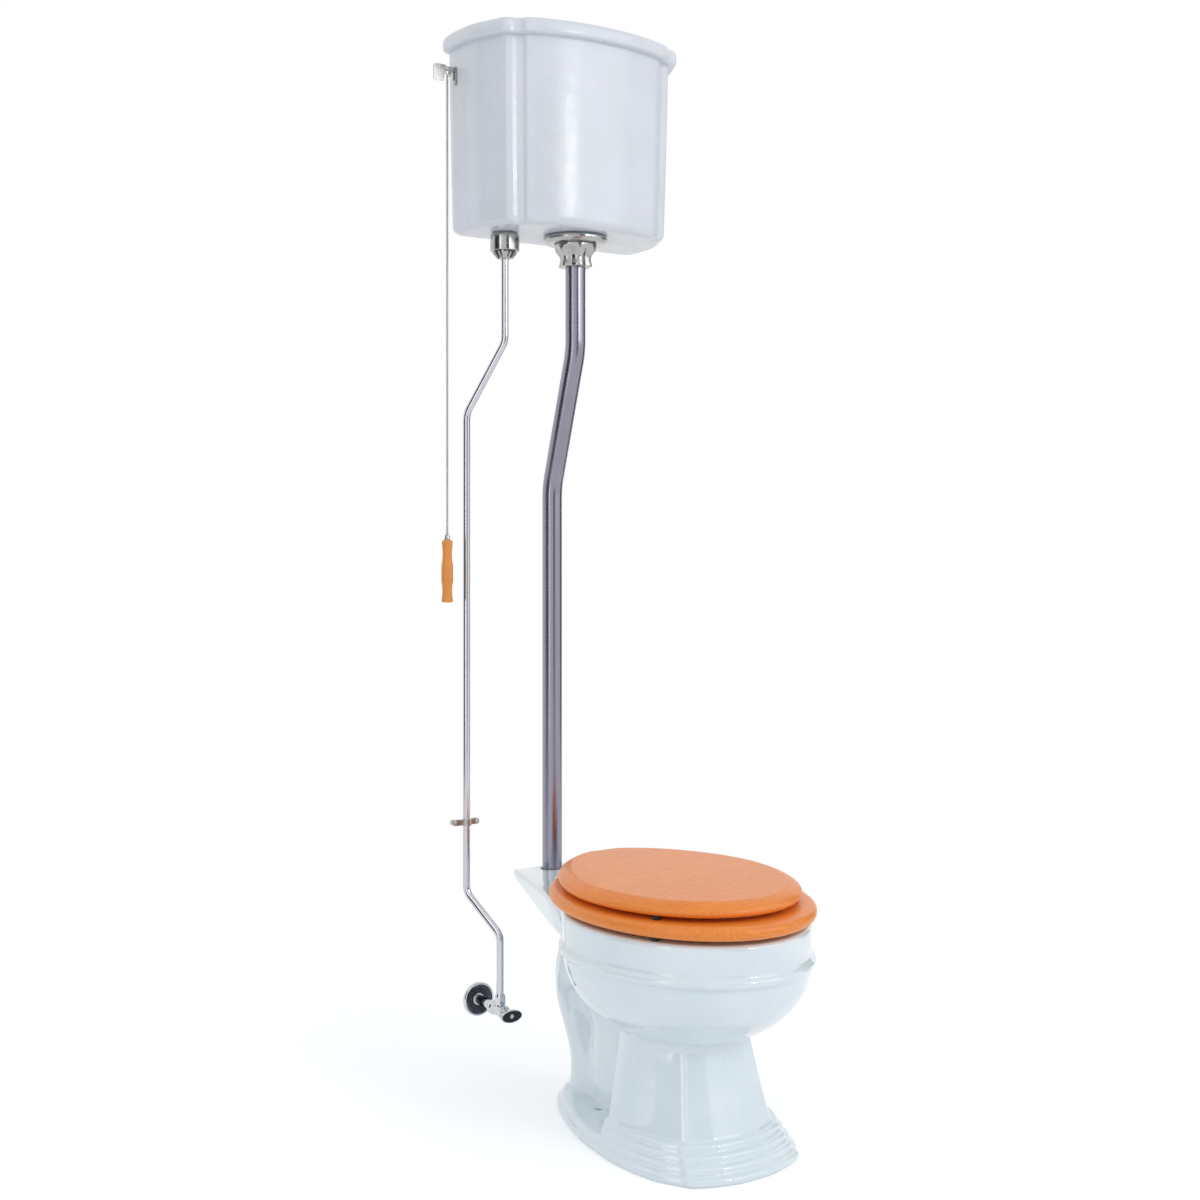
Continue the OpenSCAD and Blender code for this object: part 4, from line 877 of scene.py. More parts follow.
@dataclass
class Bowl:
    """The china bowl with its foot, trapway and deck."""

    rim_z: float = 356
    rim_y: float = -117
    rim_half_w: float = 183
    rim_front: float = 232
    rim_width: float = 50
    bead_z: float = 301
    bead_proud: float = 6
    belly_z: float = 161
    deck_back: float = 299
    deck_half_w: float = 65
    deck_edge: float = 24
    plinth_step: float = 12
    plinth_steps: int = 4
    plinth_in: float = 6
    spud_y: float = 271
    spud_r: float = 20
    bolt_x: float = 76
    post_x: float = 70
    post_y: float = 126
    pitch: float = 2.8
    kept: float = 0.48

    FOOT = ((0, -310), (32, -308), (62, -300), (88, -290), (102, -281), (108, -270), (127, -240),
            (140, -197), (146, -150), (146, -112), (142, -57), (134, -15), (120, 34), (102, 84),
            (78, 124), (48, 150), (0, 165))
    LOW = ((0, -266), (40, -261), (72, -248), (79, -246), (85, -238), (90, -227), (118, -160),
           (127, -124), (124, -96), (74, -74), (62, -40), (60, 30), (52, 70), (0, 88))
    HIGH = ((0, -226), (30, -222), (52, -214), (57, -213), (63, -206), (68, -197), (98, -156),
            (107, -126), (98, -96), (66, -76), (56, -44), (52, 30), (46, 66), (0, 82))

    def outside(self) -> Shape:
        """Draws the belly, the bead and the rim band."""
        belly_h = self.bead_z - self.belly_z - 8
        profile = []
        for step in range(0, 91, 3):
            share = 0.992 * math.cos(math.radians(step))
            profile.append((self.bead_z - 8 - belly_h * share, -2, math.sqrt(1 - share**2)))
        for step in range(-90, 91, 15):
            turn = math.radians(step)
            profile.append((self.bead_z + 7 * math.sin(turn), self.bead_proud * math.cos(turn), 1))
        profile.append((self.bead_z + 11, -1.4, 1))
        profile.append((self.bead_z + 20, -1.2, 1))
        for step in range(0, 91, 15):
            turn = math.radians(step)
            profile.append((self.rim_z - 7 + 7 * math.sin(turn), 7 * math.cos(turn) - 7, 1))
        return loft([self._ring(*row) for row in profile])

    def _ring(self, z: float, grow: float, share: float) -> np.ndarray:
        """Draws one ring of the bowl's outside."""
        front = (self.rim_front + grow) * share
        back = (self.rim_front + grow - 40) * share
        return lift(oval((self.rim_half_w + grow) * share, front, back, self.rim_y), z)

    def inside(self) -> Shape:
        """Draws the water space up to the rim's channel."""
        w, l = self.rim_half_w - self.rim_width, self.rim_front - self.rim_width
        hollow = self.rim_width - 14
        rows = [
            (112, 22, 28, 28, -78), (116, 30, 36, 36, -78), (126, 44, 52, 50, -78),
            (162, 50, 80, 48, -92), (self.belly_z + 50, 112, 146, 118, self.rim_y + 12),
            (self.belly_z + 90, w + 12, l + 14, l - 14, self.rim_y + 2),
            (self.bead_z - 14, w + hollow - 6, l + hollow - 6, l + hollow - 50, self.rim_y),
            (self.rim_z - 46, w + hollow, l + hollow, l + hollow - 44, self.rim_y),
        ]
        return loft([lift(oval(*row[1:]), row[0]) for row in flowing(rows, 5)])

    def mouth(self) -> list[Shape]:
        """Draws the rim's opening and the channel round it."""
        w, l = self.rim_half_w - self.rim_width, self.rim_front - self.rim_width
        hollow = self.rim_width - 14
        wide = oval(w + hollow, l + hollow, l + hollow - 44, self.rim_y)
        skirt = oval(w + 8, l + 8, l - 12, self.rim_y)
        low, high = self.rim_z - 48, self.rim_z - 12
        channel = loft([lift(wide, low), lift(wide, high), lift(skirt, high), lift(skirt, low)], True)
        opening = oval(w, l, l - 20, self.rim_y)
        return [channel, loft([lift(opening, low), lift(opening, self.rim_z + 8)])]

    def foot(self, inset: float) -> np.ndarray:
        """Draws the foot's outline, drawn in at the sides and twice as much at its ends."""
        mid, half = -70, 240
        spots = [
            (x * (146 - inset) / 146, mid + (y - mid) * (half - 2 * inset) / half) for x, y in self.FOOT
        ]
        return mirrored(flowing(spots, 6))

    def plinth(self) -> list[Shape]:
        """Draws the stepped plinth, whose upper steps run out at the sides."""
        steps = []
        for i in range(self.plinth_steps):
            top = self.plinth_step * (i + 1)
            wide, ease = self.plinth_in * i, 3.5
            outline = [lift(self.foot(wide), 0), lift(self.foot(wide), top - ease)]
            outline += [lift(self.foot(wide + 1.1), top - 1.1), lift(self.foot(wide + ease), top)]
            if i >= 2:
                for ring in outline:
                    ring[:, 1] = np.minimum(ring[:, 1], -92)
            steps.append(loft(outline))
        return steps

    def pedestal(self) -> Shape:
        """Draws the pedestal, with a narrow strip down its front corners."""
        radii = [0, 60, 1.5, 1.5, 1.5, 1.5, 40, 30, 14, 14, 20, 40, 30, 0]
        sides = []
        for spots in (self.LOW, self.HIGH):
            half = rounded([(*p, r) for p, r in zip(spots, radii)], 5, closed=False)
            sides.append(mirrored(self._resampled(half)))
        low, high = sides
        top, up = 48, self.belly_z + 32
        rings = [lift(low, z) for z in (18, 33, top)]
        for t in np.linspace(0.02, 1, 50):
            rings.append(lift(low + (high - low) * t**0.85, top + (up - top) * t))
        return loft(rings + [lift(high, self.belly_z + 60)])

    def _resampled(self, half: np.ndarray, fine: int = 6) -> np.ndarray:
        """Splits each step of an outline, so that two outlines stay paired point by point."""
        steps = np.linspace(0, 1, fine, endpoint=False)
        made = [a + (b - a) * t for a, b in zip(half, half[1:]) for t in steps]
        return np.array([*made, half[-1]])

    def deck(self) -> Shape:
        """Draws the deck that tapers to the wall, deeper towards the bowl."""
        rows = []
        for y in np.linspace(-10, self.deck_back, 32):
            wide = np.interp(y, (-10, 30, 72, self.deck_back), (147, 141, 133, self.deck_half_w))
            under = np.interp(
                y, (-10, 90, 155, 220, self.deck_back), (290, 294, 304, 317, self.rim_z - self.deck_edge)
            )
            top = self.rim_z - 5 * max(0.0, (y - 140) / (self.deck_back - 140))
            lean = 12 * (top - under) / 34
            section = rounded(
                [(wide, top, 5), (-wide, top, 5), (lean - wide, under, 5), (wide - lean, under, 5)], 4
            )
            rows.append(np.column_stack([section[:, 0], np.full(len(section), y), section[:, 1]]))
        return loft(rows)

    def trapway(self) -> list[Shape]:
        """Draws the trapway's rising leg, crown and falling leg."""
        rise = [(-90, 112, 40), (-20, 116, 45), (40, 150, 48), (95, 190, 52), (150, 205, 56)]
        fall = [(112, 316, 48), (124, 272, 51), (140, 236, 55), (150, 205, 57), (147, 165, 57),
                (126, 125, 56), (106, 90, 57), (95, 55, 60), (90, 20, 65)]
        legs = []
        for leg in (rise, fall):
            spots = flowing(leg, 5)
            path = np.column_stack([np.zeros(len(spots)), spots[:, :2]])
            legs.append(self._tapered(path, spots[:, 2]))
        return legs

    def _tapered(self, path: np.ndarray, radii: np.ndarray) -> Shape:
        """Draws a round leg whose radius changes along its path."""
        base = swept(path, 1.0, 48)
        axis = np.repeat(path, 48, axis=0)
        return Shape(axis + (base.points - axis) * np.repeat(radii, 48)[:, None], base.faces)

    def build(self) -> None:
        """Builds and dresses the bowl."""
        cast = Cast((-192, -362, 0), (192, 302, self.rim_z), self.pitch)
        cast.join(self.outside(), 1)
        cast.join(self.deck(), 6)
        cast.join(self.pedestal(), 12)
        for leg in self.trapway():
            cast.join(leg, 14)
        for step in self.plinth():
            cast.join(step, 4)
        boss = rounded([(0, 0, 0), (26, 0, 0), (26, 36, 0), (0, 36, 0)], 1)
        cast.join(lathe(boss).moved(0, self.spud_y, self.rim_z - 48), 6)
        cast.cut(self.inside(), 3)
        for space in self.mouth():
            cast.cut(space, 6)
        hollow = [(-8, 98, 118, 40, -150), (40, 90, 110, 36, -150), (86, 64, 64, 34, -150)]
        cast.cut(loft([lift(oval(*row[1:]), row[0]) for row in hollow]), 4)
        for hole in self.holes():
            cast.cut(hole, 2)
        floor = block((-400, -500, -60), (400, 500, 0), 0.1)
        cast.cut(floor, 0.5)
        nodes = ["toilet_bowl"]
        piece("toilet_bowl_china", cast.shape(), BOWL_CHINA, Body.FIXTURE, nodes, math.pi, self.kept)

    def holes(self) -> list[Shape]:
        """Draws the waste outlet, the floor bolts' holes, the flush inlet and the seat bolts' pockets."""
        rod = rounded([(0, 0, 0), (1, 0, 0), (1, 1, 0), (0, 1, 0)], 1)
        rows = [(0, 0, -8, 38, 42)]
        rows += [(x, 0, -8, 6, 60) for x in (self.bolt_x, -self.bolt_x)]
        rows += [(0, self.spud_y, self.rim_z - 26, self.spud_r, 40)]
        rows += [(x, self.post_y, 250, 15, 82) for x in (self.post_x, -self.post_x)]
        return [lathe(rod * np.array((radius, high)), 48).moved(x, y, z) for x, y, z, radius, high in rows]


@dataclass
class Seat:
    """The oak ring and lid."""

    ring_z: float = 364
    ring_half_w: float = 189
    ring_front: float = 240
    ring_back: float = 246
    hole_half_w: float = 114
    hole_half_l: float = 160
    lid_z: float = 391
    lid_t: float = 21
    lid_half_w: float = 177
    lid_front: float = 220
    lid_back: float = 238
    lid_squareness: float = 1.75
    rim_y: float = -117
    seat_back: float = 113
    outline_points: int = 240

    def ring(self, grow: float) -> np.ndarray:
        """Draws the ring's outer outline."""
        half_w, front, back = self.ring_half_w + grow, self.ring_front + grow, self.ring_back + grow
        return oval(half_w, front, back, self.rim_y, 2, self.seat_back + grow, self.outline_points)

    def hole(self, grow: float) -> np.ndarray:
        """Draws the ring's opening."""
        half_w, half_l = self.hole_half_w + grow, self.hole_half_l + grow
        return oval(half_w, half_l, half_l, self.rim_y - 12, count=self.outline_points)

    def lid(self, grow: float) -> np.ndarray:
        """Draws the lid's outline, whose straight back edge draws in less."""
        half_w, front, back = self.lid_half_w + grow, self.lid_front + grow, self.lid_back + grow
        y_max = self.seat_back + min(grow * 0.4, 0)
        return oval(
            half_w, front, back, self.rim_y + 10, self.lid_squareness, y_max, self.outline_points
        )

    def build(self) -> None:
        """Builds and dresses the ring and the lid."""
        outer = [(-6, 0), (-3, 2), (-0.5, 6), (0, 11), (-1.5, 15), (-4.5, 18), (-10, 20)]
        inner = [(12, 20), (5, 18.5), (1, 14.5), (-1, 9), (0, 3), (4, 0)]
        rings = [lift(self.ring(g), self.ring_z + z) for g, z in flowing(outer, 4)]
        rings += [lift(self.hole(g), self.ring_z + z) for g, z in flowing(inner, 4)]
        piece("seat_ring_oak", loft(rings, True), SEAT_OAK, Body.SEAT, ["seat_ring"], BROAD_ANGLE)
        edge = [(-5, 0), (-2, 2), (0, 6), (-1, 10), (-5, 14), (-12, 18), (-18, 20.2), (-20, 20.9)]
        rings = [lift(self.lid(g), self.lid_z + z) for g, z in flowing(edge, 4)]
        rings.append(lift(self.lid(-24), self.lid_z + self.lid_t))
        piece("seat_lid_oak", loft(rings), SEAT_OAK, Body.LID, ["seat_lid"], BROAD_ANGLE)


@dataclass
class Tank:
    """The bow-fronted china tank and its lid."""

    tank_z: float = 1460
    tank_h: float = 311
    half_w: float = 197
    depth: float = 201
    taper: float = 7
    wall: float = 9
    floor: float = 12
    bottom_r: float = 14
    bottom_back: float = 10
    back: float = 302
    hanger_x: float = 125
    hanger_drop: float = 48
    outlet_y: float = 193
    inlet: tuple[float, float] = (-120, 229)
    lid_over: float = 13
    lid_h: float = 26
    chain_y: float = 263
    slot_w: float = 8.4
    slot_low: float = 56
    slot_high: float = 31.3

    PLAN = ((0, 1), (0.21, 0.991), (0.42, 0.956), (0.59, 0.908), (0.67, 0.874), (0.69, 0.855),
            (0.706, 0.826), (0.74, 0.802), (0.79, 0.794), (0.825, 0.78), (0.85, 0.745), (0.88, 0.68),
            (0.935, 0.565), (0.972, 0.455), (0.993, 0.32), (1, 0.14), (0.98, 0.04), (0.94, 0))

    def plan(self, half_w: float, front: float, back: float) -> np.ndarray:
        """Draws the bow front with its fluted corners and the straight back."""
        shares = flowing(self.PLAN, 6)
        return mirrored(np.column_stack([half_w * shares[:, 0], back - (back - front) * shares[:, 1]]))

    def ring(self, z: float, inset: float, back_inset: float = 0.0) -> np.ndarray:
        """Draws one ring of the body."""
        front = self.back - self.depth + inset
        return lift(self.plan(self.half_w - inset, front, self.back - back_inset), z)

    def build(self) -> None:
        """Builds and dresses the body and the lid."""
        top, floor_top = self.tank_z + self.tank_h, self.tank_z + self.floor
        rows = [(self.tank_z, self.taper + 16, 12)]
        for turn in range(10, 91, 10):
            rise, out = 1 - math.cos(math.radians(turn)), 1 - math.sin(math.radians(turn))
            inset = self.taper - 0.4 + self.bottom_r * out
            rows.append((self.tank_z + self.bottom_r * rise, inset, self.bottom_back * out))
        for share in (0.2, 0.4, 0.6, 0.8):
            rows.append((self.tank_z + self.tank_h * share, self.taper * (1 - share) ** 1.3, 0))
        rows += [(top, 0, 0), (top, self.wall, self.wall)]
        rows += [(floor_top + 8, self.taper + self.wall, self.wall)]
        rows += [(floor_top, self.taper + self.wall + 7, self.wall + 7)]
        rod = np.array(((0.0, 0.0), (1.0, 0.0), (1.0, 1.0), (0.0, 1.0)))
        outlet = lathe(rod * (23, 30), 48).moved(0, self.outlet_y, self.tank_z - 5)
        inlet = lathe(rod * (12, 30), 48).moved(*self.inlet, self.tank_z - 5)
        hangers = [
            lathe(rod * (4, 20), 32).turned(90, "X").moved(x, self.back + 5, top - self.hanger_drop)
            for x in (-self.hanger_x, self.hanger_x)
        ]
        slot = block(
            (-self.half_w - 10, self.chain_y - self.slot_w / 2, top - self.slot_low),
            (-self.half_w + 29, self.chain_y + self.slot_w / 2, top - self.slot_high),
            0.4,
        )
        body = loft([self.ring(*row) for row in rows])
        piece(
            "tank_body_china",
            body,
            TANK_CHINA,
            Body.FIXTURE,
            ["tank_body"],
            BROAD_ANGLE,
            cuts=[outlet, inlet, *hangers, slot],
        )
        rise = self.lid_h
        edge = [(-7, 0), (-3.5, 0.6), (-1, 2.5), (0, 6), (0, rise - 10), (-1.2, rise - 5), (-4, rise - 1.6)]
        edge += [(-8, rise - 0.3), (-13, rise)]
        rings = [self._lid_ring(top + z, g) for g, z in flowing(edge, 4)]
        lid = loft(rings)
        for x in (-90, 90):
            lid = lid + block((x - 12, 133, top - 7), (x + 12, 141, top + 1), 1)
        piece("tank_lid_china", lid, TANK_CHINA, Body.FIXTURE, ["tank_lid"], BROAD_ANGLE)

    def _lid_ring(self, z: float, grow: float) -> np.ndarray:
        """Draws one ring of the lid."""
        reach = self.lid_over + grow
        front = self.back - self.depth - reach
        return lift(self.plan(self.half_w + reach, front, self.back + min(grow, 0)), z)


@dataclass
class FlushPipe:
    """The bent flush pipe, with the flange and the lobed nut that hang it under the tank."""

    outlet_y: float = 193
    spud_y: float = 271
    tank_z: float = 1460
    bend_drop: float = 179
    slant: float = 18.5
    bend_r: float = 120
    radius: float = 17.5
    top: float = 1442
    bottom: float = 334
    flange_r: float = 56
    flange_t: float = 14
    nut_h: float = 40
    nut_lobes: int = 6
    nut_turn: float = 12

    def build(self) -> None:
        """Builds and dresses the pipe, the flange and the nut."""
        down = offset(self.spud_y - self.outlet_y, self.slant, self.bend_r, 16)
        start = np.array((0, self.outlet_y, self.tank_z - self.bend_drop))
        bends = start + np.column_stack([np.zeros(len(down)), down])
        path = np.vstack([(0, self.outlet_y, self.top), bends, (0, self.spud_y, self.bottom)])
        piece("flush_pipe_satin", swept(path, self.radius, 64), SATIN_PIPE, Body.FIXTURE, ["flush_pipe"])
        low = -self.flange_t
        rim = [(23, low, 0), (23, 0, 0), (self.flange_r - 4, 0, 2), (self.flange_r, -4, 3)]
        rim += [(self.flange_r, -9, 3), (self.flange_r - 6, low, 4)]
        flange = lathe(rounded(rim)[::-1], 128, hollow=True).moved(0, self.outlet_y, self.tank_z)
        piece("outlet_flange_nickel", flange, NICKEL, Body.FIXTURE, ["outlet_flange"])
        piece("outlet_nut_nickel", self.lobed_nut(), NICKEL, Body.FIXTURE, ["outlet_lobed_nut"])

    def lobed_nut(self) -> Shape:
        """Draws the nut, whose lobes swell into its collar."""
        turn = np.radians(np.arange(144) * 2.5)
        lobes = np.abs(np.cos(self.nut_lobes / 2 * (turn - math.radians(self.nut_turn)))) ** 1.6
        rows = [(0, 22.6, 0.4), (0.6, 24.4, 4.4), (4, 24.8, 4.6), (12, 24, 3.6), (18, 24, 4), (23, 26, 5.6)]
        rows += [(28, 29.5, 5.8), (32, 33, 3.6), (34.5, 35.6, 1.4), (36.5, 37, 0), (39, 37, 0), (40, 36, 0)]
        rings = []
        for z, radius, swell in flowing(rows, 3):
            r = radius + swell * lobes
            rings.append(np.column_stack([r * np.cos(turn), r * np.sin(turn), np.full(len(turn), z)]))
        return loft(rings).moved(0, self.outlet_y, self.tank_z - self.flange_t - self.nut_h)


def offset(reach: float, slant: float, bend: float, steps: int) -> np.ndarray:
    """Draws a pipe's offset between two bends, down from the origin.

    Args:
        reach: How far the lower run is from the upper one.
        slant: Degrees by which the middle leans.
        bend: Radius of both bends.
        steps: Points round each bend.

    Returns:
        Distance and height of the path's points.
    """
    turn = np.radians(slant * np.arange(steps + 1) / steps)
    upper = bend * np.column_stack([1 - np.cos(turn), -np.sin(turn)])
    lean = math.radians(slant)
    slope = (reach - 2 * bend * (1 - math.cos(lean))) / math.sin(lean)
    low = np.array((reach, -(2 * bend * math.sin(lean) + slope * math.cos(lean))))
    return np.vstack([upper, low - upper[::-1]])


@dataclass
class Supply:
    """The water inlet's nuts and the bent supply tube."""

    inlet: tuple[float, float] = (-120, 229)
    run: tuple[float, float] = (-160, 293)
    stop: tuple[float, float] = (-133, 222)
    tank_z: float = 1460
    tube_top: float = 1420
    tube_bottom: float = 150
    upper_bend: float = 1285
    lower_bend: float = 336
    radius: float = 6.35
    cup_r: float = 25
    cup_h: float = 32
    rib_h: float = 12
    rib_w: float = 2.6
    rib_d: float = 5
    rib_r: float = 15.2
    rib_lean: float = 40
    ribs: int = 12

    def axis(self) -> np.ndarray:
        """Draws the tube's axis from the tank to the stop valve."""
        spots = [(*self.inlet, self.tube_top)]
        legs = (
            (self.inlet, self.run, self.upper_bend, 32, 40),
            (self.run, self.stop, self.lower_bend, 50, 25),
        )
        for start, end, z, slant, bend in legs:
            way = np.array(end, float) - np.array(start, float)
            reach = float(np.linalg.norm(way))
            for along, down in offset(reach, slant, bend, 14):
                x, y = np.array(start) + way / reach * along
                spots.append((x, y, z + down))
        spots.append((*self.stop, self.tube_bottom))
        return np.array(spots, float)

    def build(self) -> None:
        """Builds and dresses the tube and the nuts."""
        tube = swept(self.axis(), self.radius, 40)
        piece("supply_tube_chrome", tube, DRAWN_CHROME, Body.FIXTURE, ["supply_tube"])
        cup = [(11.1, -self.cup_h, 0), (11.1, 0, 0), (self.cup_r - 4, 0, 2), (self.cup_r, -5, 5)]
        cup += [(self.cup_r, -self.cup_h, 1.5)]
        shape = lathe(rounded(cup)[::-1], 96, hollow=True).moved(*self.inlet, self.tank_z)
        piece("inlet_cup_nickel", shape, NICKEL, Body.FIXTURE, ["inlet_cup_nut"])
        nut = self.coupling()
        piece("supply_coupling_nickel", nut, NICKEL, Body.FIXTURE, ["supply_coupling_nut"])

    def coupling(self) -> Shape:
        """Draws the cone of the coupling nut and the ribs round it."""
        core = [(6.4, -self.rib_h, 0), (9, -self.rib_h, 0.8), (15, -1, 1), (15, 0, 0), (6.4, 0, 0)]
        cone = lathe(rounded(core), 72, hollow=True)
        sizes = {
            "Ribs": self.ribs,
            "Length": self.rib_h * 1.06 * MM,
            "Width": self.rib_w * MM,
            "Depth": self.rib_d * MM,
            "Radius": self.rib_r * MM,
            "Lean": math.radians(self.rib_lean),
        }
        ribs = shape_of(repeated("coupling_ribs", radial_ribs, sizes, NICKEL))
        return (cone + ribs.moved(0, 0, -self.rib_h / 2)).moved(*self.inlet, self.tank_z - self.cup_h)


def radial_ribs(tree: bpy.types.NodeTree) -> bpy.types.NodeSocket:
    """Lays leaning ribs evenly round the Z axis.

    Args:
        tree: A tree with the inputs Ribs, Length, Width, Depth, Radius and Lean.

    Returns:
        The ribs' geometry.
    """
    sizes = add_node(tree, "NodeGroupInput").outputs
    size = add_node(
        tree, "ShaderNodeCombineXYZ", links={0: sizes["Depth"], 1: sizes["Width"], 2: sizes["Length"]}
    )
    bar = add_node(tree, "GeometryNodeMeshCube", links={"Size": size.outputs[0]})
    out = add_node(tree, "ShaderNodeCombineXYZ", links={0: sizes["Radius"]})
    lean = add_node(tree, "ShaderNodeCombineXYZ", links={1: sizes["Lean"]})
    placed = add_node(
        tree,
        "GeometryNodeTransform",
        links={0: bar.outputs[0], "Translation": out.outputs[0], "Rotation": lean.outputs[0]},
    )
    spots = add_node(
        tree, "GeometryNodeMeshLine", values={"Offset": (0, 0, 0)}, links={"Count": sizes["Ribs"]}
    )
    index = add_node(tree, "GeometryNodeInputIndex")
    share = add_node(
        tree,
        "ShaderNodeMath",
        settings={"operation": "DIVIDE"},
        links={0: index.outputs[0], 1: sizes["Ribs"]},
    )
    angle = add_node(
        tree,
        "ShaderNodeMath",
        settings={"operation": "MULTIPLY"},
        values={1: math.tau},
        links={0: share.outputs[0]},
    )
    turn = add_node(tree, "ShaderNodeCombineXYZ", links={2: angle.outputs[0]})
    return add_node(
        tree,
        "GeometryNodeInstanceOnPoints",
        links={"Points": spots.outputs[0], "Instance": placed.outputs[0], "Rotation": turn.outputs[0]},
    ).outputs[0]


def bead_string(tree: bpy.types.NodeTree) -> bpy.types.NodeSocket:
    """Hangs beads and the links between them down from the origin.

    Args:
        tree: A tree with the inputs Beads, Pitch, Bead radius and Link radius.

    Returns:
        The chain's geometry.
    """
    sizes = add_node(tree, "NodeGroupInput").outputs
    down = add_node(
        tree,
        "ShaderNodeMath",
        settings={"operation": "MULTIPLY"},
        values={1: -1.0},
        links={0: sizes["Pitch"]},
    )
    step = add_node(tree, "ShaderNodeCombineXYZ", links={2: down.outputs[0]})
    spots = add_node(
        tree, "GeometryNodeMeshLine", links={"Count": sizes["Beads"], "Offset": step.outputs[0]}
    )
    bead = add_node(
        tree,
        "GeometryNodeMeshUVSphere",
        values={"Segments": 10, "Rings": 7},
        links={"Radius": sizes["Bead radius"]},
    )
    link = add_node(
        tree,
        "GeometryNodeMeshCylinder",
        values={"Vertices": 6},
        links={"Radius": sizes["Link radius"], "Depth": sizes["Pitch"]},
    )
    both = add_node(tree, "GeometryNodeJoinGeometry")
    tree.links.new(bead.outputs[0], both.inputs[0])
    tree.links.new(link.outputs[0], both.inputs[0])
    return add_node(
        tree,
        "GeometryNodeInstanceOnPoints",
        links={"Points": spots.outputs[0], "Instance": both.outputs[0]},
    ).outputs[0]


@dataclass
class PullChain:
    """The bead chain with its bell cap and the turned handle."""

    x: float = -213
    y: float = 263
    top: float = 1720.9
    pitch: float = 4.9
    beads: int = 160
    bead_r: float = 2.3
    handle_top: float = 934.7
    handle_l: float = 106
    handle_r: float = 10

    TURNING = ((1, 0), (1, 0.86), (0.995, 0.94), (0.975, 0.98), (0.94, 0.94), (0.88, 0.86), (0.82, 0.83),
               (0.75, 0.87), (0.7, 0.94), (0.68, 1), (0.61, 1.0), (0.54, 1), (0.47, 1.0), (0.405, 1),
               (0.39, 0.95), (0.35, 0.87), (0.28, 0.8), (0.2, 0.79), (0.12, 0.87), (0.07, 0.92),
               (0.035, 0.9), (0.01, 0.78), (0, 0.62), (0, 0))

    def build(self) -> None:
        """Builds and dresses the chain and the handle."""
        sizes = {
            "Beads": self.beads,
            "Pitch": self.pitch * MM,
            "Bead radius": self.bead_r * MM,
            "Link radius": 0.8 * MM,
        }
        beads = shape_of(repeated("bead_chain", bead_string, sizes, NICKEL))
        piece("pull_chain_beads", beads.moved(self.x, self.y, self.top), NICKEL, Body.CHAIN, ["pull_chain"])
        spots = [(r * self.handle_r, -share * self.handle_l) for share, r in self.TURNING]
        handle = lathe(np.array(spots), 72).moved(self.x, self.y, self.handle_top)
        piece("pull_handle_oak", handle, HANDLE_OAK, Body.CHAIN, ["pull_handle"], math.radians(60))


@dataclass
class StopValve:
    """The angle stop with its oval handle and the dished escutcheon, whose dish is lined with painted dark
    reflection.
    """

    x: float = -133
    z: float = 133
    wall_y: float = 305
    stop_y: float = 222
    barrel_back: float = 27
    handle_y: float = 194
    handle_half_w: float = 20
    handle_half_h: float = 11

    def build(self) -> None:
        """Builds and dresses the valve's body, handle and escutcheon."""
        dish = [(8.2, 0, 0), (27, 0, 0.5), (29, 2.5, 1), (29, 7.8, 1.5), (27.6, 10, 1.2), (25.6, 9, 1)]
        dish += [(24.6, 6, 2), (20, 3.6, 4), (12, 2.6, 2), (10.4, 6, 0.8), (8.2, 6, 0)]
        plate = lathe(rounded(dish), 128, hollow=True).turned(90, "X").moved(self.x, self.wall_y, self.z)
        piece("wall_escutcheon_chrome", plate, CHROME, Body.FIXTURE, ["escutcheon"])
        # The dish's inner face is a separate lining in the dark chrome: painted dark reflection in the
        # recess round the barrel.
        inside = [(10.6, 2.4, 0), (12, 2, 0), (20, 3, 2), (24.4, 5, 0), (24.7, 6.3, 0)]
        inside += [(20, 3.9, 4), (12, 2.9, 1.6), (10.6, 5.9, 0)]
        painted_reflection_lining = lathe(rounded(inside), 128, hollow=True).turned(90, "X").moved(self.x, self.wall_y, self.z)
        piece("wall_escutcheon_dish", painted_reflection_lining, PAINTED_REFLECTION_CHROME, Body.FIXTURE)
        barrel = [(0, 0, 0), (12.5, 0, 1), (12.5, 9, 1.5), (11, 11, 2), (10.4, 24, 6), (11, 38, 4)]
        barrel += [(11, 42.5, 1.5), (8, 44, 1), (8, 52, 1), (0, 52, 0)]
        cast = Cast((-14, -40, -16), (14, 30, 22), 0.55)
        cast.join(lathe(rounded(barrel)).turned(90, "X").moved(0, self.barrel_back, 0), 0.5)
        boss = lathe(rounded([(0, 0, 0), (8.5, 0, 0), (8.5, 18, 1), (0, 18, 0)]))
        cast.join(boss, 3)
        body = cast.shape().moved(self.x, self.stop_y, self.z)
        piece("stop_valve_body_chrome", body, CHROME, Body.FIXTURE, ["stop_valve_body"], math.pi)
        self.handle()

    def handle(self) -> None:
        """Builds and dresses the handle's chrome cup and the dark face set in it."""
        cup = ((5, 0), (3, 1), (1, 4), (0, 9), (0, 12), (0.5, 13), (1.6, 13), (2, 12.4), (2, 10.6))
        face = ((2.1, 8), (2.1, 10.8), (3, 11.4), (6, 11.7))
        nodes = ["stop_valve_handle"]
        for name, rows, finish, stands_for in (("cup", cup, CHROME, nodes), ("face", face, PLASTIC, ())):
            part = loft([self._handle_ring(*row) for row in rows])
            part = part.turned(90, "X").moved(self.x, self.handle_y, self.z)
            piece(f"valve_handle_{name}", part, finish, Body.VALVE_HANDLE, stands_for, BROAD_ANGLE)

    def _handle_ring(self, inset: float, depth: float) -> np.ndarray:
        """Draws one oval ring of the handle."""
        half_w, half_h = self.handle_half_w - inset, self.handle_half_h - inset
        return lift(oval(half_w, half_h, half_h, 0, count=96), depth)


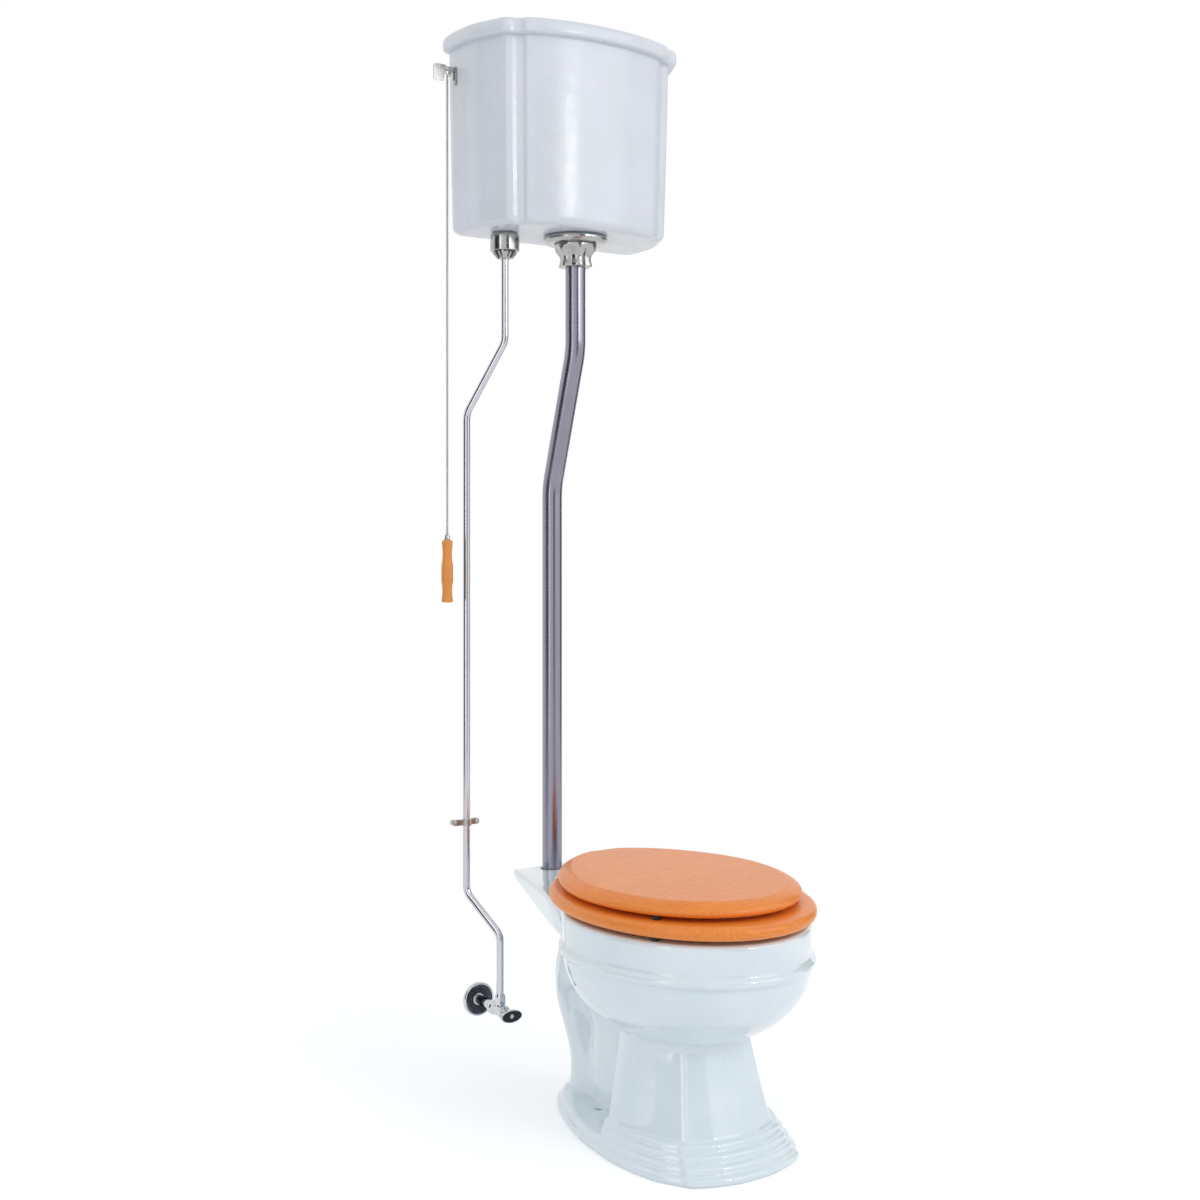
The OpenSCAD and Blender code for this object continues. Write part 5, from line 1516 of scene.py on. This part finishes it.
@dataclass
class Studio:
    """Camera at the photograph's angle, a plain floor and soft lamps."""

    eye: tuple[float, float, float] = (-1.423, -2.085, 0.948)
    heading: float = 32.9
    focal_px: float = 1548
    frame_px: float = 1200
    horizon_px: float = 532
    fill: float = 0.80
    floor_glow: float = 0.30
    floor_half: float = 20
    fade_from: float = 0.55
    fade_to: float = 1.5
    aim: tuple[float, float, float] = (0, 0, 0.75)

    def camera(self) -> None:
        """Sets up the level camera, shifted so that its horizon is where the photograph's is."""
        data = bpy.data.cameras.new("camera")
        data.sensor_width = 36
        data.lens = self.focal_px / self.frame_px * data.sensor_width
        data.shift_y = (self.horizon_px - self.frame_px / 2) / self.frame_px
        data.clip_start, data.clip_end = 0.05, 60
        camera = bpy.data.objects.new("camera", data)
        camera.location = self.eye
        camera.rotation_euler = (math.pi / 2, 0, -math.radians(self.heading))
        bpy.context.scene.collection.objects.link(camera)
        bpy.context.scene.camera = camera

    def lamp(self, name: str, spot: Vector, aim: Vector, size: tuple[float, float], glow: float) -> None:
        """Hangs a softbox.

        Args:
            name: Its name.
            spot: Where it is.
            aim: What it points at.
            size: Its width and height in metres.
            glow: How bright its surface is.
        """
        data = bpy.data.lights.new(name, "AREA")
        data.shape, data.size, data.size_y = "RECTANGLE", *size
        data.energy = glow * math.pi * size[0] * size[1]
        lamp = bpy.data.objects.new(name, data)
        lamp.location = spot
        lamp.rotation_euler = (aim - spot).to_track_quat("-Z", "Y").to_euler()
        lamp.visible_camera = False
        bpy.context.scene.collection.objects.link(lamp)

    def card(self, name: str, spot: Vector, aim: Vector, size: tuple[float, float], grey: str) -> None:
        """Stands a card that only reflections see, as a photographer does to edge chrome.

        Args:
            name: Its name.
            spot: Where it is.
            aim: What it faces.
            size: Its width and height in metres.
            grey: Its colour.
        """
        w, h = size[0] / 2 / MM, size[1] / 2 / MM
        card = bpy.data.objects.new(name, flat(w, h).mesh(name))
        card.location = spot
        card.rotation_euler = (aim - spot).to_track_quat("Z", "Y").to_euler()
        made = bpy.data.materials.new(name)
        made.use_nodes = True
        made.node_tree.nodes.clear()
        glow = add_node(made.node_tree, "ShaderNodeEmission", values={"Color": linear(grey)})
        add_node(made.node_tree, "ShaderNodeOutputMaterial", links={0: glow.outputs[0]})
        card.data.materials.append(made)
        card.visible_camera = card.visible_diffuse = card.visible_shadow = False
        card.visible_transmission = False
        bpy.context.scene.collection.objects.link(card)

    def seen(self, tree: bpy.types.NodeTree) -> bpy.types.NodeSocket:
        """Gives 1 for rays of the camera, of gloss and of glass, and 0 for light."""
        path = add_node(tree, "ShaderNodeLightPath").outputs
        gloss = add_node(
            tree,
            "ShaderNodeMath",
            settings={"operation": "MAXIMUM"},
            links={0: path["Is Glossy Ray"], 1: path["Is Transmission Ray"]},
        )
        return add_node(
            tree,
            "ShaderNodeMath",
            settings={"operation": "MAXIMUM"},
            links={0: path["Is Camera Ray"], 1: gloss.outputs[0]},
        ).outputs[0]

    def world(self) -> None:
        """Sets a white background and a plain even light."""
        world = bpy.data.worlds.new("studio")
        world.use_nodes = True
        tree = world.node_tree
        tree.nodes.clear()
        white = add_node(tree, "ShaderNodeBackground", values={"Color": (1, 1, 1, 1), "Strength": 1.0})
        fill = add_node(
            tree, "ShaderNodeBackground", values={"Color": linear("#F6F8FA"), "Strength": self.fill}
        )
        both = add_node(
            tree, "ShaderNodeMixShader", links={0: self.seen(tree), 1: fill.outputs[0], 2: white.outputs[0]}
        )
        add_node(tree, "ShaderNodeOutputWorld", links={0: both.outputs[0]})
        bpy.context.scene.world = world

    def floor(self) -> None:
        """Lays a plain pale floor that keeps the shadow and fades to the white background."""
        half = self.floor_half / MM
        floor = bpy.data.objects.new("studio_floor", flat(half, half).mesh("studio_floor"))
        made = bpy.data.materials.new("studio_floor_paint")
        made.use_nodes = True
        tree = made.node_tree
        tree.nodes.clear()
        paint = add_node(tree, "ShaderNodeBsdfDiffuse", values={"Color": linear("#F2F3F4")})
        glow = add_node(tree, "ShaderNodeEmission", values={"Strength": self.floor_glow})
        lit = add_node(tree, "ShaderNodeAddShader", links={0: paint.outputs[0], 1: glow.outputs[0]})
        where = add_node(tree, "ShaderNodeTexCoord").outputs["Object"]
        away = add_node(
            tree, "ShaderNodeVectorMath", settings={"operation": "LENGTH"}, links={0: where}
        ).outputs["Value"]
        far = add_node(
            tree,
            "ShaderNodeMapRange",
            settings={"interpolation_type": "SMOOTHSTEP"},
            values={"From Min": self.fade_from, "From Max": self.fade_to},
            links={"Value": away},
        )
        white = add_node(tree, "ShaderNodeEmission", values={"Strength": 1.0})
        faded = add_node(
            tree, "ShaderNodeMixShader", links={0: far.outputs[0], 1: lit.outputs[0], 2: white.outputs[0]}
        )
        both = add_node(
            tree,
            "ShaderNodeMixShader",
            links={0: self.seen(tree), 1: paint.outputs[0], 2: faded.outputs[0]},
        )
        add_node(tree, "ShaderNodeOutputMaterial", links={0: both.outputs[0]})
        floor.data.materials.append(made)
        bpy.context.scene.collection.objects.link(floor)

    def build(self) -> None:
        """Sets up everything round the object except the camera."""
        scene = bpy.context.scene
        scene.view_settings.view_transform = "Standard"
        self.world()
        self.floor()
        aim = Vector(self.aim)
        self.lamp("key_softbox", Vector((1.6, -3.2, 2.6)), aim, (2.8, 2.4), 1.25)
        self.lamp("gloss_box", Vector((0.6, -3.0, 2.1)), aim, (0.3, 0.7), 11)
        self.lamp("side_strip", Vector((-2.5, -0.9, 1.3)), aim, (0.5, 2.2), 1.5)
        self.card("dark_card_left", Vector((-3.2, 0.4, 1.0)), aim, (2.4, 3.6), "#3A3A40")
        self.card("dark_card_front", Vector((-0.6, -4.2, 1.0)), aim, (1.6, 3.6), "#55555C")
        self.card("dark_card_right", Vector((3.6, 0.2, 1.0)), aim, (1.8, 3.6), "#4A4A50")


class Carried:
    """Small hardware and the works inside the tank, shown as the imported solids."""

    FINISHES = (
        (CHROME, ("hinge_posts", "hinge_post_nuts", "hinge_rod", "seat_leaves", "lid_leaves",
                  "seat_leaf_screws", "lid_leaf_screws", "compression_nut", "stop_valve_stem",
                  "handle_screw", "wall_nipple")),
        (NICKEL, ("lever_bracket", "lever_pin", "flush_lever", "chain_hook", "chain_bell", "pipe_clamp",
                  "clamp_screws")),
        (RUBBER, ("bowl_inlet_seal", "seat_bumpers", "lid_bumpers", "flush_valve_gasket", "flush_ball",
                  "ballcock_gasket")),
        (BRASS, ("flush_valve_seat", "overflow_tube", "lift_rod", "lift_rod_collar", "lift_rod_guide",
                 "ballcock_body", "ballcock_plunger", "float_pin", "float_arm")),
        (COPPER, ("float_ball",)),
        (CLEAR, ("refill_tube",)),
    )

    def shading(self) -> bpy.types.NodeTree:
        """Gives the tree that joins a solid's loose triangles and shades them smooth."""
        tree = bpy.data.node_groups.new("shade_by_angle", "GeometryNodeTree")
        tree.interface.new_socket("Geometry", in_out="INPUT", socket_type="NodeSocketGeometry")
        tree.interface.new_socket("Geometry", in_out="OUTPUT", socket_type="NodeSocketGeometry")
        start = add_node(tree, "NodeGroupInput")
        joined = add_node(
            tree, "GeometryNodeMergeByDistance", values={"Distance": 1e-5}, links={0: start.outputs[0]}
        )
        smooth = add_node(tree, "GeometryNodeSetShadeSmooth", links={0: joined.outputs[0]})
        angle = add_node(tree, "GeometryNodeInputMeshEdgeAngle")
        sharp = add_node(
            tree,
            "FunctionNodeCompare",
            settings={"operation": "LESS_EQUAL"},
            values={1: SMOOTH_ANGLE},
            links={0: angle.outputs[0]},
        )
        edges = add_node(
            tree,
            "GeometryNodeSetShadeSmooth",
            settings={"domain": "EDGE"},
            links={0: smooth.outputs[0], "Shade Smooth": sharp.outputs[0]},
        )
        add_node(tree, "NodeGroupOutput", links={0: edges.outputs[0]})
        return tree

    def build(self) -> None:
        """Dresses the carried-over solids."""
        tree = self.shading()
        for finish, names in self.FINISHES:
            for name in names:
                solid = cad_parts[name]
                solid.data.materials.clear()
                solid.data.materials.append(finish.material())
                step = solid.modifiers.new("shade", "NODES")
                step.node_group = tree
                LOG.info("%s: carried over in %s", name, finish.name)


def main() -> None:
    """Builds the pieces in order."""
    logging.basicConfig(level=logging.INFO, format="%(message)s")
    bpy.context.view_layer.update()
    studio = Studio()
    studio.camera()
    for assembly in (Bowl(), Seat(), Tank(), FlushPipe(), Supply(), PullChain(), StopValve(), Carried()):
        assembly.build()
    studio.build()


if __name__ == "__main__":
    main()
